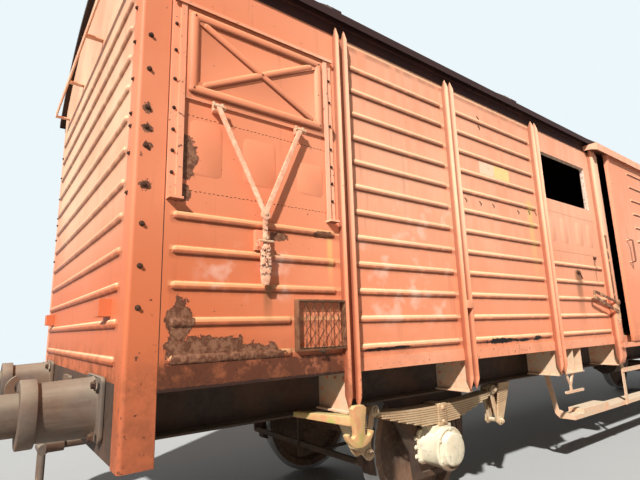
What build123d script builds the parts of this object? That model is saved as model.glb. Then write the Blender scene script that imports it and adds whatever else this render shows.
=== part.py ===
"""Two-axle covered goods wagon with sliding doors and sliding vent shutters.

Millimetres. X runs along the wagon, Y across it and Z up. The origin is at the middle of the wagon,
at the height of the wheel flanges' lowest point. The near side is -Y and end A is at -X.
The wagon looks the same after half a turn about Z, so the far side is the near side turned round.
"""

from math import atan2, cos, degrees, radians, sin, sqrt
import os

from build123d import *

os.makedirs("parts", exist_ok=True)

# Wheels and axles
FLANGE_HEIGHT = 30
TREAD_RADIUS = 490
RIM_WIDTH = 135
RIM_THICKNESS = 62
FLANGE_THICKNESS = 30
BACK_TO_BACK = 1360
WEB_THICKNESS = 24
HUB_RADIUS = 130
HUB_LENGTH = 178
WHEELBASE = 8000
AXLE_RADIUS = 78
WHEEL_SEAT_RADIUS = 92
JOURNAL_RADIUS = 60
JOURNAL_CENTRES = 2000

# Heights above the rail top, as photographed
FLOOR_TOP = 1235
FLOOR_THICKNESS = 55
SILL_BOTTOM = 1137
SILL_TOP = 1215
WALL_TOP = 3330
EAVE_TOP = 3460
ROOF_CROWN = 4060
HEADSTOCK_BOTTOM = 840
SOLE_BOTTOM = 880
CORNER_FOOT = 830
POST_FOOT = 930
BUFFER_HEIGHT = 1050

# Body
BODY_WIDTH = 2660
WALL_THICKNESS = 45
DOOR_OPENING = 2480
ROOF_HALF_WIDTH = 1400
ROOF_THICKNESS = 40
ROOF_OVERHANG = 40
CORNER_SIDE_LEG = 149
CORNER_END_LEG = 120
CORNER_RADIUS = 20

# Side posts: the clear widths of the bays beside the corner and the doorway, the channel and the pointed ends
END_BAY = 1067
SECOND_BAY = 1065
DOOR_BAY = 1238
POST_WIDTH = 80
POST_DEPTH = 60
POST_PLATE = 9
POST_TOP = 3370
POST_POINT = 80
DOOR_POST_WIDTH = 120
STRAP_BOTTOM = 1510

# Pressed beads, counted from the top row down
BEAD_TOP_ROW = 3132
BEAD_PITCH = 169
BEAD_ROWS = 12
BEAD_WIDTH = 34
BEAD_HEIGHT = 13
BEAD_SLOPE = 48
BEAD_END_GAP = 42

# Vents: windows, shutters and their guides
WINDOW_BOTTOM = 2610
WINDOW_TOP = 3105
END_WINDOW_WIDTH = 860
END_WINDOW_FROM_CORNER = 521
DOOR_WINDOW_WIDTH = 1020
DOOR_WINDOW_FROM_POST = 650
END_SHUTTER_WIDTH = 920
DOOR_SHUTTER_WIDTH = 1060
SHUTTER_BOTTOM = 2565
SHUTTER_TOP = 3095
SHUTTER_PLATE = 8
SHUTTER_RELIEF = 14
SHUTTER_TRAVEL = 500
RUNNING_GAP = 6

# Underframe
SOLE_WEB_FACE = 925
SOLE_FLANGE_TIP = 1035
SOLE_PLATE = 12
GRID_PLATE = 10
GRID_DEPTH = 180
HEADSTOCK_DEPTH = 90
HEADSTOCK_PLATE = 12

# Buffers and draw gear
BUFFER_CENTRES = 1750
LENGTH_OVER_BUFFERS = 14020
BUFFER_LENGTH = 620
BUFFER_HEAD_RADIUS = 225

# Doors
DOOR_LEAF_WIDTH = 2540
DOOR_AJAR = 180
DOOR_LEAF_THICKNESS = 32
DOOR_STANDOFF = 74
RAIL_BAR = 12
RAIL_HEIGHT = 50
LOWER_RAIL_TOP = 1150

# Places worked out from the sizes above
AXLE_Z = FLANGE_HEIGHT + TREAD_RADIUS
BODY_LENGTH = LENGTH_OVER_BUFFERS - 2 * BUFFER_LENGTH
HALF_LENGTH = BODY_LENGTH / 2
HALF_WIDTH = BODY_WIDTH / 2
INNER_Y = HALF_WIDTH - WALL_THICKNESS
INNER_X = HALF_LENGTH - WALL_THICKNESS
CORNER_X = HALF_LENGTH - CORNER_SIDE_LEG
CORNER_Y = HALF_WIDTH - CORNER_END_LEG
DOOR_HALF = DOOR_OPENING / 2
DOOR_POST_EDGE = -DOOR_HALF - DOOR_POST_WIDTH
POST_EDGES = (
    # Left edges of the posts between the corner and the doorway
    -CORNER_X + END_BAY,
    -CORNER_X + END_BAY + POST_WIDTH + SECOND_BAY,
    DOOR_POST_EDGE - DOOR_BAY - POST_WIDTH,
)
END_WINDOW_CENTRE = -CORNER_X + END_WINDOW_FROM_CORNER
DOOR_WINDOW_CENTRE = DOOR_POST_EDGE - DOOR_WINDOW_FROM_POST
WHEEL_X = WHEELBASE / 2
JOURNAL_Y = JOURNAL_CENTRES / 2
FLOOR_BOTTOM = FLOOR_TOP - FLOOR_THICKNESS
POST_TIP_Y = HALF_WIDTH + POST_DEPTH
ROOF_RISE = ROOF_CROWN - EAVE_TOP
ROOF_RADIUS = (ROOF_HALF_WIDTH**2 + ROOF_RISE**2) / (2 * ROOF_RISE)
ROOF_INNER_RADIUS = ROOF_RADIUS - ROOF_THICKNESS
ROOF_CENTRE = ROOF_CROWN - ROOF_RADIUS


def above_rail(height):
    """Turn a height above the rail top into a height in this frame."""
    return height + FLANGE_HEIGHT


def roof_inside(y):
    """Height of the roof's inner surface above the rail at a distance y from the middle."""
    return ROOF_CENTRE + sqrt(ROOF_INNER_RADIUS**2 - y**2)


def side_plane(y):
    """A drawing plane parallel to the near side, whose normal points away from the wagon."""
    return Plane.XZ.offset(-y)


def slab(x, y, z, mode=Mode.ADD):
    """A rectangular bar between three pairs of coordinates, added to the sub-part being built."""
    sizes = [abs(second - first) for first, second in (x, y, z)]
    with Locations(tuple(sum(pair) / 2 for pair in (x, y, z))):
        Box(*sizes, mode=mode)


def finish(sub_part, name):
    """Name a finished sub-part and write it."""
    sub_part.part.label = name
    export_step(sub_part.part, f"parts/{name}.step")


# Wheels: a monobloc wheel turned from one profile, with its flange on the inside
def wheel_profile():
    """Half section of the wheel on the far side, as (distance from the middle, radius)."""
    back = BACK_TO_BACK / 2
    front = back + RIM_WIDTH
    flange_radius = TREAD_RADIUS + FLANGE_HEIGHT
    rim_inside = TREAD_RADIUS - RIM_THICKNESS
    hub_back = back - (HUB_LENGTH - RIM_WIDTH) / 2
    web_at_rim = (back + front) / 2
    web_at_hub = web_at_rim - 22
    return (
        (back, flange_radius - 12),
        (back + 9, flange_radius),
        (back + FLANGE_THICKNESS - 6, flange_radius - 12),
        (back + FLANGE_THICKNESS + 10, TREAD_RADIUS + 2),
        (front - 6, TREAD_RADIUS - 4),
        (front, TREAD_RADIUS - 10),
        (front, rim_inside),
        (web_at_rim + WEB_THICKNESS / 2, rim_inside - 22),
        (web_at_hub + WEB_THICKNESS / 2, HUB_RADIUS + 30),
        (hub_back + HUB_LENGTH, HUB_RADIUS),
        (hub_back + HUB_LENGTH, WHEEL_SEAT_RADIUS),
        (hub_back, WHEEL_SEAT_RADIUS),
        (hub_back, HUB_RADIUS),
        (web_at_hub - WEB_THICKNESS / 2, HUB_RADIUS + 30),
        (web_at_rim - WEB_THICKNESS / 2, rim_inside - 22),
        (back, rim_inside),
    )


def axle_line(x):
    """A plane whose local x runs across the wagon and whose local y is the distance from an axle."""
    return Plane(origin=(x, 0, AXLE_Z), x_dir=(0, 1, 0), z_dir=(1, 0, 0))


def axle_profile():
    """Half section of one end of the axle, as (distance from the middle, radius)."""
    seat_start = BACK_TO_BACK / 2 - 30
    seat_end = BACK_TO_BACK / 2 + RIM_WIDTH + 30
    journal_end = JOURNAL_Y + 95
    return (
        (0, 0),
        (0, AXLE_RADIUS),
        (seat_start - 40, AXLE_RADIUS),
        (seat_start, WHEEL_SEAT_RADIUS),
        (seat_end, WHEEL_SEAT_RADIUS),
        (seat_end + 20, JOURNAL_RADIUS),
        (journal_end, JOURNAL_RADIUS),
        (journal_end, 0),
    )


for name, x in (("a", -WHEEL_X), ("b", WHEEL_X)):
    turning_axis = Axis((x, 0, AXLE_Z), (0, 1, 0))
    with BuildPart() as wheels:
        with BuildSketch(axle_line(x)):
            Polygon(wheel_profile())
        revolve(axis=turning_axis)
        mirror(about=Plane.XZ)
    finish(wheels, f"wheels_{name}")

    with BuildPart() as axle:
        with BuildSketch(axle_line(x)):
            Polygon(axle_profile())
        revolve(axis=turning_axis)
        mirror(about=Plane.XZ)
    finish(axle, f"axle_{name}")


# Side walls: one pressed-steel wall with wooden lining between a corner post and the doorway
WALL_BOTTOM = SILL_TOP
BAYS = (
    # left, right, first bead row
    (-CORNER_X, POST_EDGES[0], 7),
    (POST_EDGES[0] + POST_WIDTH, POST_EDGES[1], 0),
    (POST_EDGES[1] + POST_WIDTH, POST_EDGES[2], 0),
    (POST_EDGES[2] + POST_WIDTH, -DOOR_HALF - DOOR_POST_WIDTH, 7),
)
WINDOWS = (
    # centre, width
    (END_WINDOW_CENTRE, END_WINDOW_WIDTH),
    (DOOR_WINDOW_CENTRE, DOOR_WINDOW_WIDTH),
)
LABEL_BOX_WIDTH = 340
LABEL_BOX_LEFT = POST_EDGES[0] - LABEL_BOX_WIDTH
LABEL_BOX_BOTTOM = 1278
LABEL_BOX_HEIGHT = 278


def bead_height(row):
    return above_rail(BEAD_TOP_ROW - BEAD_PITCH * row)


def side_wall(with_label_box):
    """The wall of the near side's half at end A, added to the sub-part being built."""
    wall_low = above_rail(WALL_BOTTOM)
    slab((-CORNER_X, -DOOR_HALF), (-HALF_WIDTH, -INNER_Y), (wall_low, above_rail(WALL_TOP)))
    with BuildSketch(side_plane(-HALF_WIDTH)) as beads:
        for left, right, first_row in BAYS:
            for row in range(first_row, BEAD_ROWS):
                end = right - BEAD_END_GAP
                beside_label_box = LABEL_BOX_LEFT - BEAD_END_GAP / 2 if with_label_box else end
                low_row = bead_height(row) < above_rail(LABEL_BOX_BOTTOM + LABEL_BOX_HEIGHT)
                if low_row and left == -CORNER_X:
                    end = min(end, beside_label_box)
                start = left + BEAD_END_GAP
                with Locations(((start + end) / 2, bead_height(row))):
                    Rectangle(end - start, BEAD_WIDTH)
    extrude(beads.sketch, amount=BEAD_HEIGHT, taper=BEAD_SLOPE)
    with BuildSketch(side_plane(-INNER_Y)) as windows:
        for centre, width in WINDOWS:
            middle = above_rail((WINDOW_BOTTOM + WINDOW_TOP) / 2)
            with Locations((centre, middle)):
                RectangleRounded(width, WINDOW_TOP - WINDOW_BOTTOM, 25)
    extrude(windows.sketch, amount=WALL_THICKNESS, mode=Mode.SUBTRACT)


with BuildPart() as wall_near_a:
    side_wall(with_label_box=True)
finish(wall_near_a, "wall_near_a")

with BuildPart() as wall_without_box:
    side_wall(with_label_box=False)

with BuildPart() as wall_near_b:
    add(wall_without_box.part.mirror(Plane.YZ))
finish(wall_near_b, "wall_near_b")

with BuildPart() as wall_far_a:
    add(wall_near_b.part.rotate(Axis.Z, 180))
finish(wall_far_a, "wall_far_a")

with BuildPart() as wall_far_b:
    add(wall_near_a.part.rotate(Axis.Z, 180))
finish(wall_far_b, "wall_far_b")

# Corner posts: rounded angles that run down past the ends of the headstocks
with BuildPart() as corner_posts:
    with BuildSketch(Plane.XY.offset(above_rail(CORNER_FOOT))):
        with BuildLine():
            corner_outline = Polyline(
                (-CORNER_X, -HALF_WIDTH),
                (-HALF_LENGTH, -HALF_WIDTH),
                (-HALF_LENGTH, -CORNER_Y),
                (-INNER_X, -CORNER_Y),
                (-INNER_X, -INNER_Y),
                (-CORNER_X, -INNER_Y),
                close=True,
            )
        make_face()
    extrude(amount=WALL_TOP - CORNER_FOOT)
    outer_corner = corner_posts.edges().filter_by(Axis.Z).sort_by(Axis.X)[:2].sort_by(Axis.Y)[0]
    fillet(outer_corner, CORNER_RADIUS)
    mirror(about=Plane.YZ)
    mirror(about=Plane.XZ)
finish(corner_posts, "corner_posts")

# End walls: beaded like the sides, with a top edge that follows the roof
END_BEAD_GAP = 34


def end_wall_outline():
    """The end wall, with a step round the corner posts and the roof's arc along its top."""
    low = above_rail(FLOOR_BOTTOM)
    step = above_rail(WALL_TOP)
    eave = above_rail(roof_inside(INNER_Y))
    crown = above_rail(roof_inside(0))
    with BuildLine() as outline:
        Polyline((-INNER_Y, eave), (-INNER_Y, step), (-CORNER_Y, step), (-CORNER_Y, low), (CORNER_Y, low))
        Polyline((CORNER_Y, low), (CORNER_Y, step), (INNER_Y, step), (INNER_Y, eave))
        ThreePointArc((INNER_Y, eave), (0, crown), (-INNER_Y, eave))
    make_face(outline.line)


with BuildPart() as end_walls:
    with BuildSketch(Plane.YZ.offset(-HALF_LENGTH)):
        end_wall_outline()
    extrude(amount=WALL_THICKNESS)
    with BuildSketch(Plane(origin=(-HALF_LENGTH, 0, 0), x_dir=(0, -1, 0), z_dir=(-1, 0, 0))):
        for row in range(BEAD_ROWS):
            with Locations((0, bead_height(row))):
                Rectangle(2 * (CORNER_Y - END_BEAD_GAP), BEAD_WIDTH)
    extrude(amount=BEAD_HEIGHT, taper=BEAD_SLOPE)
    add(end_walls.part.rotate(Axis.Z, 180))
finish(end_walls, "end_walls")

# Roof: one arched shell with raised joint straps across it
ROOF_STRAP_X = (POST_EDGES[0], -3000, -1000, 1000, 3000, -POST_EDGES[0])
STRAP_WIDTH = 70
STRAP_HEIGHT = 10


def roof_arc_point(radius, y):
    return (y, above_rail(ROOF_CENTRE + sqrt(radius**2 - y**2)))


def roof_band(half_width, outer_radius, inner_radius):
    """The cross section between two arcs about the roof's centre."""
    with BuildLine() as outline:
        ThreePointArc(
            roof_arc_point(outer_radius, -half_width),
            roof_arc_point(outer_radius, 0),
            roof_arc_point(outer_radius, half_width),
        )
        ThreePointArc(
            roof_arc_point(inner_radius, half_width),
            roof_arc_point(inner_radius, 0),
            roof_arc_point(inner_radius, -half_width),
        )
        for side in (-1, 1):
            Line(
                roof_arc_point(outer_radius, side * half_width),
                roof_arc_point(inner_radius, side * half_width),
            )
    make_face(outline.line)


with BuildPart() as roof:
    with BuildSketch(Plane.YZ.offset(-HALF_LENGTH - ROOF_OVERHANG)):
        roof_band(ROOF_HALF_WIDTH, ROOF_RADIUS, ROOF_INNER_RADIUS)
    extrude(amount=BODY_LENGTH + 2 * ROOF_OVERHANG)
    for x in ROOF_STRAP_X:
        with BuildSketch(Plane.YZ.offset(x - STRAP_WIDTH / 2)):
            roof_band(ROOF_HALF_WIDTH, ROOF_RADIUS + STRAP_HEIGHT, ROOF_INNER_RADIUS)
        extrude(amount=STRAP_WIDTH)
finish(roof, "roof")

# Cantrails: the top rail of each side, over the walls and the doorway, up to the roof
CANTRAIL_LIP = 15
CANTRAIL_LIP_HEIGHT = 3412


def cantrail_section():
    lip_y = -HALF_WIDTH - CANTRAIL_LIP
    with BuildLine() as outline:
        Polyline(
            (-INNER_Y, above_rail(roof_inside(INNER_Y))),
            (-INNER_Y, above_rail(WALL_TOP)),
            (-HALF_WIDTH, above_rail(WALL_TOP)),
            (-HALF_WIDTH, above_rail(CANTRAIL_LIP_HEIGHT)),
            (lip_y, above_rail(CANTRAIL_LIP_HEIGHT)),
            (lip_y, above_rail(roof_inside(lip_y))),
        )
        middle_y = (lip_y - INNER_Y) / 2
        ThreePointArc(
            (lip_y, above_rail(roof_inside(lip_y))),
            (middle_y, above_rail(roof_inside(middle_y))),
            (-INNER_Y, above_rail(roof_inside(INNER_Y))),
        )
    make_face(outline.line)


with BuildPart() as cantrails:
    with BuildSketch(Plane.YZ.offset(-HALF_LENGTH)):
        cantrail_section()
    extrude(amount=BODY_LENGTH)
    mirror(about=Plane.XZ)
finish(cantrails, "cantrails")

# Floor
with BuildPart() as floor:
    slab((-INNER_X, INNER_X), (-INNER_Y, INNER_Y), (above_rail(FLOOR_BOTTOM), above_rail(FLOOR_TOP)))
finish(floor, "floor")

# Side sills: a channel under each wall
SILL_PLATE = 12
SILL_FLANGE = 90

with BuildPart() as side_sills:
    with BuildSketch(Plane.YZ.offset(-CORNER_X)):
        outer = -HALF_WIDTH
        low = above_rail(SILL_BOTTOM)
        high = above_rail(SILL_TOP)
        Polygon((
            (outer, low),
            (outer + SILL_FLANGE, low),
            (outer + SILL_FLANGE, low + SILL_PLATE),
            (outer + SILL_PLATE, low + SILL_PLATE),
            (outer + SILL_PLATE, high - SILL_PLATE),
            (-INNER_Y, high - SILL_PLATE),
            (-INNER_Y, high),
            (outer, high),
        ))
    extrude(amount=2 * CORNER_X)
    mirror(about=Plane.XZ)
finish(side_sills, "side_sills")

# Cover strips: one flat bar on the face of the sill in each bay
SILL_STRIP = 6
SILL_STRIP_TOP = (1250, 1215, 1215, 1215)

with BuildPart() as sill_strips:
    for (left, right, _), top in zip(BAYS, SILL_STRIP_TOP):
        strip_height = (above_rail(SILL_BOTTOM), above_rail(top))
        for strip in ((left, right), (-right, -left)):
            slab(strip, (-HALF_WIDTH - SILL_STRIP, -HALF_WIDTH), strip_height)
    mirror(about=Plane.XZ)
finish(sill_strips, "sill_strips")


# Side posts: channels open to the outside, cut to a point at both ends, and closed door posts
def post_side_outline(foot, top):
    """The flange of a post seen along the wagon, as (y, z), pointed at foot and top."""
    return (
        (-HALF_WIDTH, above_rail(foot + POST_POINT)),
        (-HALF_WIDTH - 0.55 * POST_DEPTH, above_rail(foot)),
        (-POST_TIP_Y, above_rail(foot + POST_POINT)),
        (-POST_TIP_Y, above_rail(top - POST_POINT)),
        (-HALF_WIDTH - 0.55 * POST_DEPTH, above_rail(top)),
        (-HALF_WIDTH, above_rail(top - POST_POINT)),
    )


with BuildPart() as side_posts:
    for left in POST_EDGES:
        with BuildSketch(Plane.YZ.offset(left)):
            Polygon(post_side_outline(POST_FOOT, POST_TOP))
        extrude(amount=POST_WIDTH)
        channel_y = (-POST_TIP_Y - POST_PLATE, -HALF_WIDTH - POST_PLATE)
        channel_x = (left + POST_PLATE, left + POST_WIDTH - POST_PLATE)
        slab(channel_x, channel_y, (above_rail(POST_FOOT), above_rail(POST_TOP)), Mode.SUBTRACT)
    with BuildSketch(Plane.YZ.offset(-DOOR_HALF - DOOR_POST_WIDTH)):
        Polygon(post_side_outline(POST_FOOT, POST_TOP))
    extrude(amount=DOOR_POST_WIDTH)
    mirror(about=Plane.YZ)
    mirror(about=Plane.XZ)
    slab(
        (POST_EDGES[1], POST_EDGES[1] + POST_WIDTH),
        (-POST_TIP_Y - 6, -POST_TIP_Y),
        (above_rail(STRAP_BOTTOM), above_rail(STRAP_BOTTOM + 60)),
    )
finish(side_posts, "side_posts")

# Consoles: plates from the sole bars out to each post's foot, with a bottom flange
CONSOLE_PLATE = 10
CONSOLE_BOTTOM = 920
CONSOLE_FLANGE = 60
TRIPLE_CONSOLES = tuple(POST_EDGES[2] + offset for offset in (203, 363, 523))
CONSOLE_LINES = tuple(left + POST_WIDTH / 2 for left in POST_EDGES) + (-DOOR_HALF - DOOR_POST_WIDTH / 2,)


def console(x, tip_y):
    """One console plate at x with its flange, from the sole bar out to tip_y."""
    reach = (-tip_y, -SOLE_FLANGE_TIP)
    low = above_rail(CONSOLE_BOTTOM)
    slab((x - CONSOLE_PLATE / 2, x + CONSOLE_PLATE / 2), reach, (low, above_rail(SILL_BOTTOM)))
    slab((x - CONSOLE_FLANGE / 2, x + CONSOLE_FLANGE / 2), reach, (low - CONSOLE_PLATE, low))


with BuildPart() as consoles:
    for x in CONSOLE_LINES:
        console(x, HALF_WIDTH)
        console(-x, HALF_WIDTH)
    for x in TRIPLE_CONSOLES:
        console(x, HALF_WIDTH - SILL_PLATE)
    low = above_rail(CONSOLE_BOTTOM)
    flange_x = (TRIPLE_CONSOLES[0], TRIPLE_CONSOLES[-1])
    slab(flange_x, (-HALF_WIDTH + SILL_PLATE, -SOLE_FLANGE_TIP), (low - CONSOLE_PLATE, low))
    add(consoles.part.rotate(Axis.Z, 180))
finish(consoles, "consoles")

# Headstocks: the channels across each end, open towards the wagon's middle
headstock_low = above_rail(HEADSTOCK_BOTTOM)
headstock_high = above_rail(FLOOR_BOTTOM)
headstock_flange_low = headstock_low + HEADSTOCK_PLATE
headstock_flange_high = headstock_high - HEADSTOCK_PLATE
headstock_web_x = HALF_LENGTH - HEADSTOCK_PLATE
headstock_back_x = HALF_LENGTH - HEADSTOCK_DEPTH

with BuildPart() as headstocks:
    with BuildSketch(Plane.XZ.offset(-CORNER_Y)):
        Polygon((
            (-HALF_LENGTH, headstock_low),
            (-headstock_back_x, headstock_low),
            (-headstock_back_x, headstock_flange_low),
            (-headstock_web_x, headstock_flange_low),
            (-headstock_web_x, headstock_flange_high),
            (-headstock_back_x, headstock_flange_high),
            (-headstock_back_x, headstock_high),
            (-HALF_LENGTH, headstock_high),
        ))
    extrude(amount=2 * CORNER_Y)
    mirror(about=Plane.YZ)
finish(headstocks, "headstocks")

# Sole bars: channels open to the outside, let in between the headstocks' flanges
sole_low = above_rail(SOLE_BOTTOM)
sole_high = above_rail(FLOOR_BOTTOM)

with BuildPart() as sole_bars:
    with BuildSketch(Plane.YZ.offset(-headstock_web_x)):
        Polygon((
            (-SOLE_WEB_FACE, sole_low),
            (-SOLE_WEB_FACE, sole_high),
            (-SOLE_FLANGE_TIP, sole_high),
            (-SOLE_FLANGE_TIP, sole_high - SOLE_PLATE),
            (-SOLE_WEB_FACE - SOLE_PLATE, sole_high - SOLE_PLATE),
            (-SOLE_WEB_FACE - SOLE_PLATE, sole_low + SOLE_PLATE),
            (-SOLE_FLANGE_TIP, sole_low + SOLE_PLATE),
            (-SOLE_FLANGE_TIP, sole_low),
        ))
    extrude(amount=2 * headstock_web_x)
    for end_x in ((-headstock_web_x, -headstock_back_x), (headstock_back_x, headstock_web_x)):
        slab(end_x, (-SOLE_FLANGE_TIP, -SOLE_WEB_FACE), (headstock_flange_high, headstock_high), Mode.SUBTRACT)
    mirror(about=Plane.XZ)
finish(sole_bars, "sole_bars")

# Underframe grid: cross bearers, centre sills and end diagonals, welded into one frame
CROSS_BEARERS = (-5700, -4640, -3360, -2250, -1120, 0, 1120, 2250, 3360, 4640, 5700)
CENTRE_SILL_Y = 160
BEARER_FLANGE = 80
grid_low = sole_high - GRID_DEPTH

with BuildPart() as underframe_grid:
    for x in CROSS_BEARERS:
        with BuildSketch(side_plane(-SOLE_WEB_FACE)):
            with Locations((x, (grid_low + sole_high) / 2)):
                Rectangle(GRID_PLATE, GRID_DEPTH)
            for z in (grid_low + GRID_PLATE / 2, sole_high - GRID_PLATE / 2):
                with Locations((x, z)):
                    Rectangle(BEARER_FLANGE, GRID_PLATE)
        extrude(amount=-2 * SOLE_WEB_FACE)
    for y in (-CENTRE_SILL_Y, CENTRE_SILL_Y):
        with BuildSketch(Plane.YZ.offset(-headstock_back_x)):
            with Locations((y, (grid_low + sole_high) / 2)):
                Rectangle(GRID_PLATE, GRID_DEPTH)
        extrude(amount=2 * headstock_back_x)
    for side in (-1, 1):
        for end in (-1, 1):
            with BuildSketch(Plane.XY.offset(grid_low)):
                Polygon((
                    (end * headstock_back_x, side * 620),
                    (end * headstock_back_x, side * 700),
                    (end * CROSS_BEARERS[-1], side * (CENTRE_SILL_Y + 80)),
                    (end * CROSS_BEARERS[-1], side * CENTRE_SILL_Y),
                ))
            extrude(amount=GRID_PLATE)
finish(underframe_grid, "underframe_grid")

# Axle guards: forked plates riveted inside the sole bars, with a stay across the feet
GUARD_PLATE = 20
GUARD_TOP = 1090
GUARD_FOOT = 262
GUARD_OPENING = 258
GUARD_OPENING_TOP = 700

with BuildPart() as axle_guards:
    for x in (-WHEEL_X, WHEEL_X):
        with BuildSketch(side_plane(-SOLE_WEB_FACE)):
            half = GUARD_OPENING / 2
            Polygon((
                (x - 500, above_rail(GUARD_TOP)),
                (x - 500, above_rail(SOLE_BOTTOM + 40)),
                (x - half - 95, above_rail(GUARD_FOOT + 190)),
                (x - half - 70, above_rail(GUARD_FOOT)),
                (x + half + 70, above_rail(GUARD_FOOT)),
                (x + half + 95, above_rail(GUARD_FOOT + 190)),
                (x + 500, above_rail(SOLE_BOTTOM + 40)),
                (x + 500, above_rail(GUARD_TOP)),
            ))
            opening_low = above_rail(GUARD_FOOT + 40)
            opening_height = above_rail(GUARD_OPENING_TOP) - opening_low
            with Locations((x, opening_low + opening_height / 2)):
                RectangleRounded(GUARD_OPENING, opening_height, 40, mode=Mode.SUBTRACT)
        extrude(amount=-GUARD_PLATE)
    mirror(about=Plane.XZ)
finish(axle_guards, "axle_guards")

# Axle boxes: a round cast body with a domed cover, cheeks that grip the guard and a spring seat
BOX_RADIUS = 145
BOX_COVER_RADIUS = 122
BOX_FRONT = JOURNAL_Y + 105
BOX_BACK = SOLE_WEB_FACE - GUARD_PLATE - 25
JOURNAL_GAP = 0.5
GUARD_GAP = 1
BOX_SEAT_TOP = 650


def box_plane(x, y):
    """A drawing plane across the axle at the near side, centred on the axle's line."""
    return Plane(origin=(x, -y, AXLE_Z), x_dir=(1, 0, 0), z_dir=(0, -1, 0))


with BuildPart() as axle_boxes:
    for x in (-WHEEL_X, WHEEL_X):
        cheek_start = SOLE_WEB_FACE + GUARD_GAP
        with BuildSketch(box_plane(x, BOX_BACK)):
            Rectangle(GUARD_OPENING + 60, 2 * BOX_COVER_RADIUS)
        extrude(amount=SOLE_WEB_FACE - GUARD_PLATE - GUARD_GAP - BOX_BACK)
        with BuildSketch(box_plane(x, BOX_BACK)):
            Rectangle(GUARD_OPENING - 2 * GUARD_GAP, 2 * BOX_COVER_RADIUS)
        extrude(amount=cheek_start - BOX_BACK)
        with BuildSketch(box_plane(x, cheek_start)):
            RectangleRounded(GUARD_OPENING + 40, 2 * BOX_COVER_RADIUS, 30)
        extrude(amount=22)
        with BuildSketch(box_plane(x, cheek_start)):
            Circle(BOX_RADIUS)
        extrude(amount=BOX_FRONT - cheek_start)
        with BuildSketch(box_plane(x, BOX_FRONT)):
            Circle(BOX_RADIUS + 9)
        extrude(amount=18)
        with BuildSketch(box_plane(x, BOX_FRONT + 18)):
            Circle(BOX_COVER_RADIUS)
        extrude(amount=34, taper=22)
        with BuildSketch(Plane.XY.offset(AXLE_Z)):
            with Locations((x, -JOURNAL_Y)):
                Rectangle(190, 130)
        extrude(amount=above_rail(BOX_SEAT_TOP) - AXLE_Z)
        with BuildSketch(box_plane(x, BOX_BACK)):
            Circle(JOURNAL_RADIUS + JOURNAL_GAP)
        extrude(amount=JOURNAL_Y + 95 + RUNNING_GAP - BOX_BACK, mode=Mode.SUBTRACT)
    mirror(about=Plane.XZ)
finish(axle_boxes, "axle_boxes")

# Leaf springs: a stepped pack of curved leaves, the longest on top and rolled into an eye
LEAF_THICKNESS = 16
LEAF_WIDTH = 120
LEAF_HALF_LENGTHS = (690, 660, 620, 540, 460, 380, 300, 220)
LEAF_SAG = 34
EYE_HALF_SPAN = 700
EYE_HEIGHT = 838
EYE_RADIUS = 31
PIN_RADIUS = 17
PIN_GAP = 0.5
NARROW_END = 32
BUCKLE_WIDTH = 100
BUCKLE_PLATE = 14
SPRING_TOP = above_rail(BOX_SEAT_TOP) + BUCKLE_PLATE + LEAF_THICKNESS * len(LEAF_HALF_LENGTHS)
LEAF_RADIUS = (EYE_HALF_SPAN**2 + LEAF_SAG**2) / (2 * LEAF_SAG)


def leaf_outline(x, index):
    """One curved leaf of the pack, bounded by two arcs about a centre far above the spring."""
    centre = SPRING_TOP + LEAF_RADIUS
    inner = LEAF_RADIUS + LEAF_THICKNESS * index
    angle = LEAF_HALF_LENGTHS[index] / LEAF_RADIUS

    def at(radius, turn):
        return (x + radius * sin(turn), centre - radius * cos(turn))

    with BuildLine() as outline:
        ThreePointArc(at(inner, -angle), at(inner, 0), at(inner, angle))
        Line(at(inner, angle), at(inner + LEAF_THICKNESS, angle))
        ThreePointArc(
            at(inner + LEAF_THICKNESS, angle),
            at(inner + LEAF_THICKNESS, 0),
            at(inner + LEAF_THICKNESS, -angle),
        )
        Line(at(inner + LEAF_THICKNESS, -angle), at(inner, -angle))
    make_face(outline.line)


with BuildPart() as springs:
    for x in (-WHEEL_X, WHEEL_X):
        with BuildSketch(side_plane(-JOURNAL_Y + LEAF_WIDTH / 2)):
            for index in range(len(LEAF_HALF_LENGTHS)):
                leaf_outline(x, index)
        extrude(amount=LEAF_WIDTH)
        with BuildSketch(side_plane(-JOURNAL_Y + LEAF_WIDTH / 4)):
            with Locations(
                (x - EYE_HALF_SPAN, above_rail(EYE_HEIGHT)), (x + EYE_HALF_SPAN, above_rail(EYE_HEIGHT))
            ):
                Circle(EYE_RADIUS)
        extrude(amount=LEAF_WIDTH / 2)
        with BuildSketch(side_plane(-JOURNAL_Y + LEAF_WIDTH / 2)):
            with Locations(
                (x - EYE_HALF_SPAN, above_rail(EYE_HEIGHT)), (x + EYE_HALF_SPAN, above_rail(EYE_HEIGHT))
            ):
                Circle(PIN_RADIUS + PIN_GAP)
        extrude(amount=LEAF_WIDTH, mode=Mode.SUBTRACT)
        for side in (-1, 1):
            narrow_x = (x + side * (EYE_HALF_SPAN - NARROW_END), x + side * (EYE_HALF_SPAN + EYE_RADIUS))
            for edge in (-1, 1):
                narrow_y = (
                    -JOURNAL_Y + edge * LEAF_WIDTH / 4,
                    -JOURNAL_Y + edge * (LEAF_WIDTH / 2 + PIN_GAP),
                )
                slab(narrow_x, narrow_y, (above_rail(EYE_HEIGHT) - 60, above_rail(EYE_HEIGHT) + 60), Mode.SUBTRACT)
    mirror(about=Plane.XZ)
finish(springs, "springs")

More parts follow.
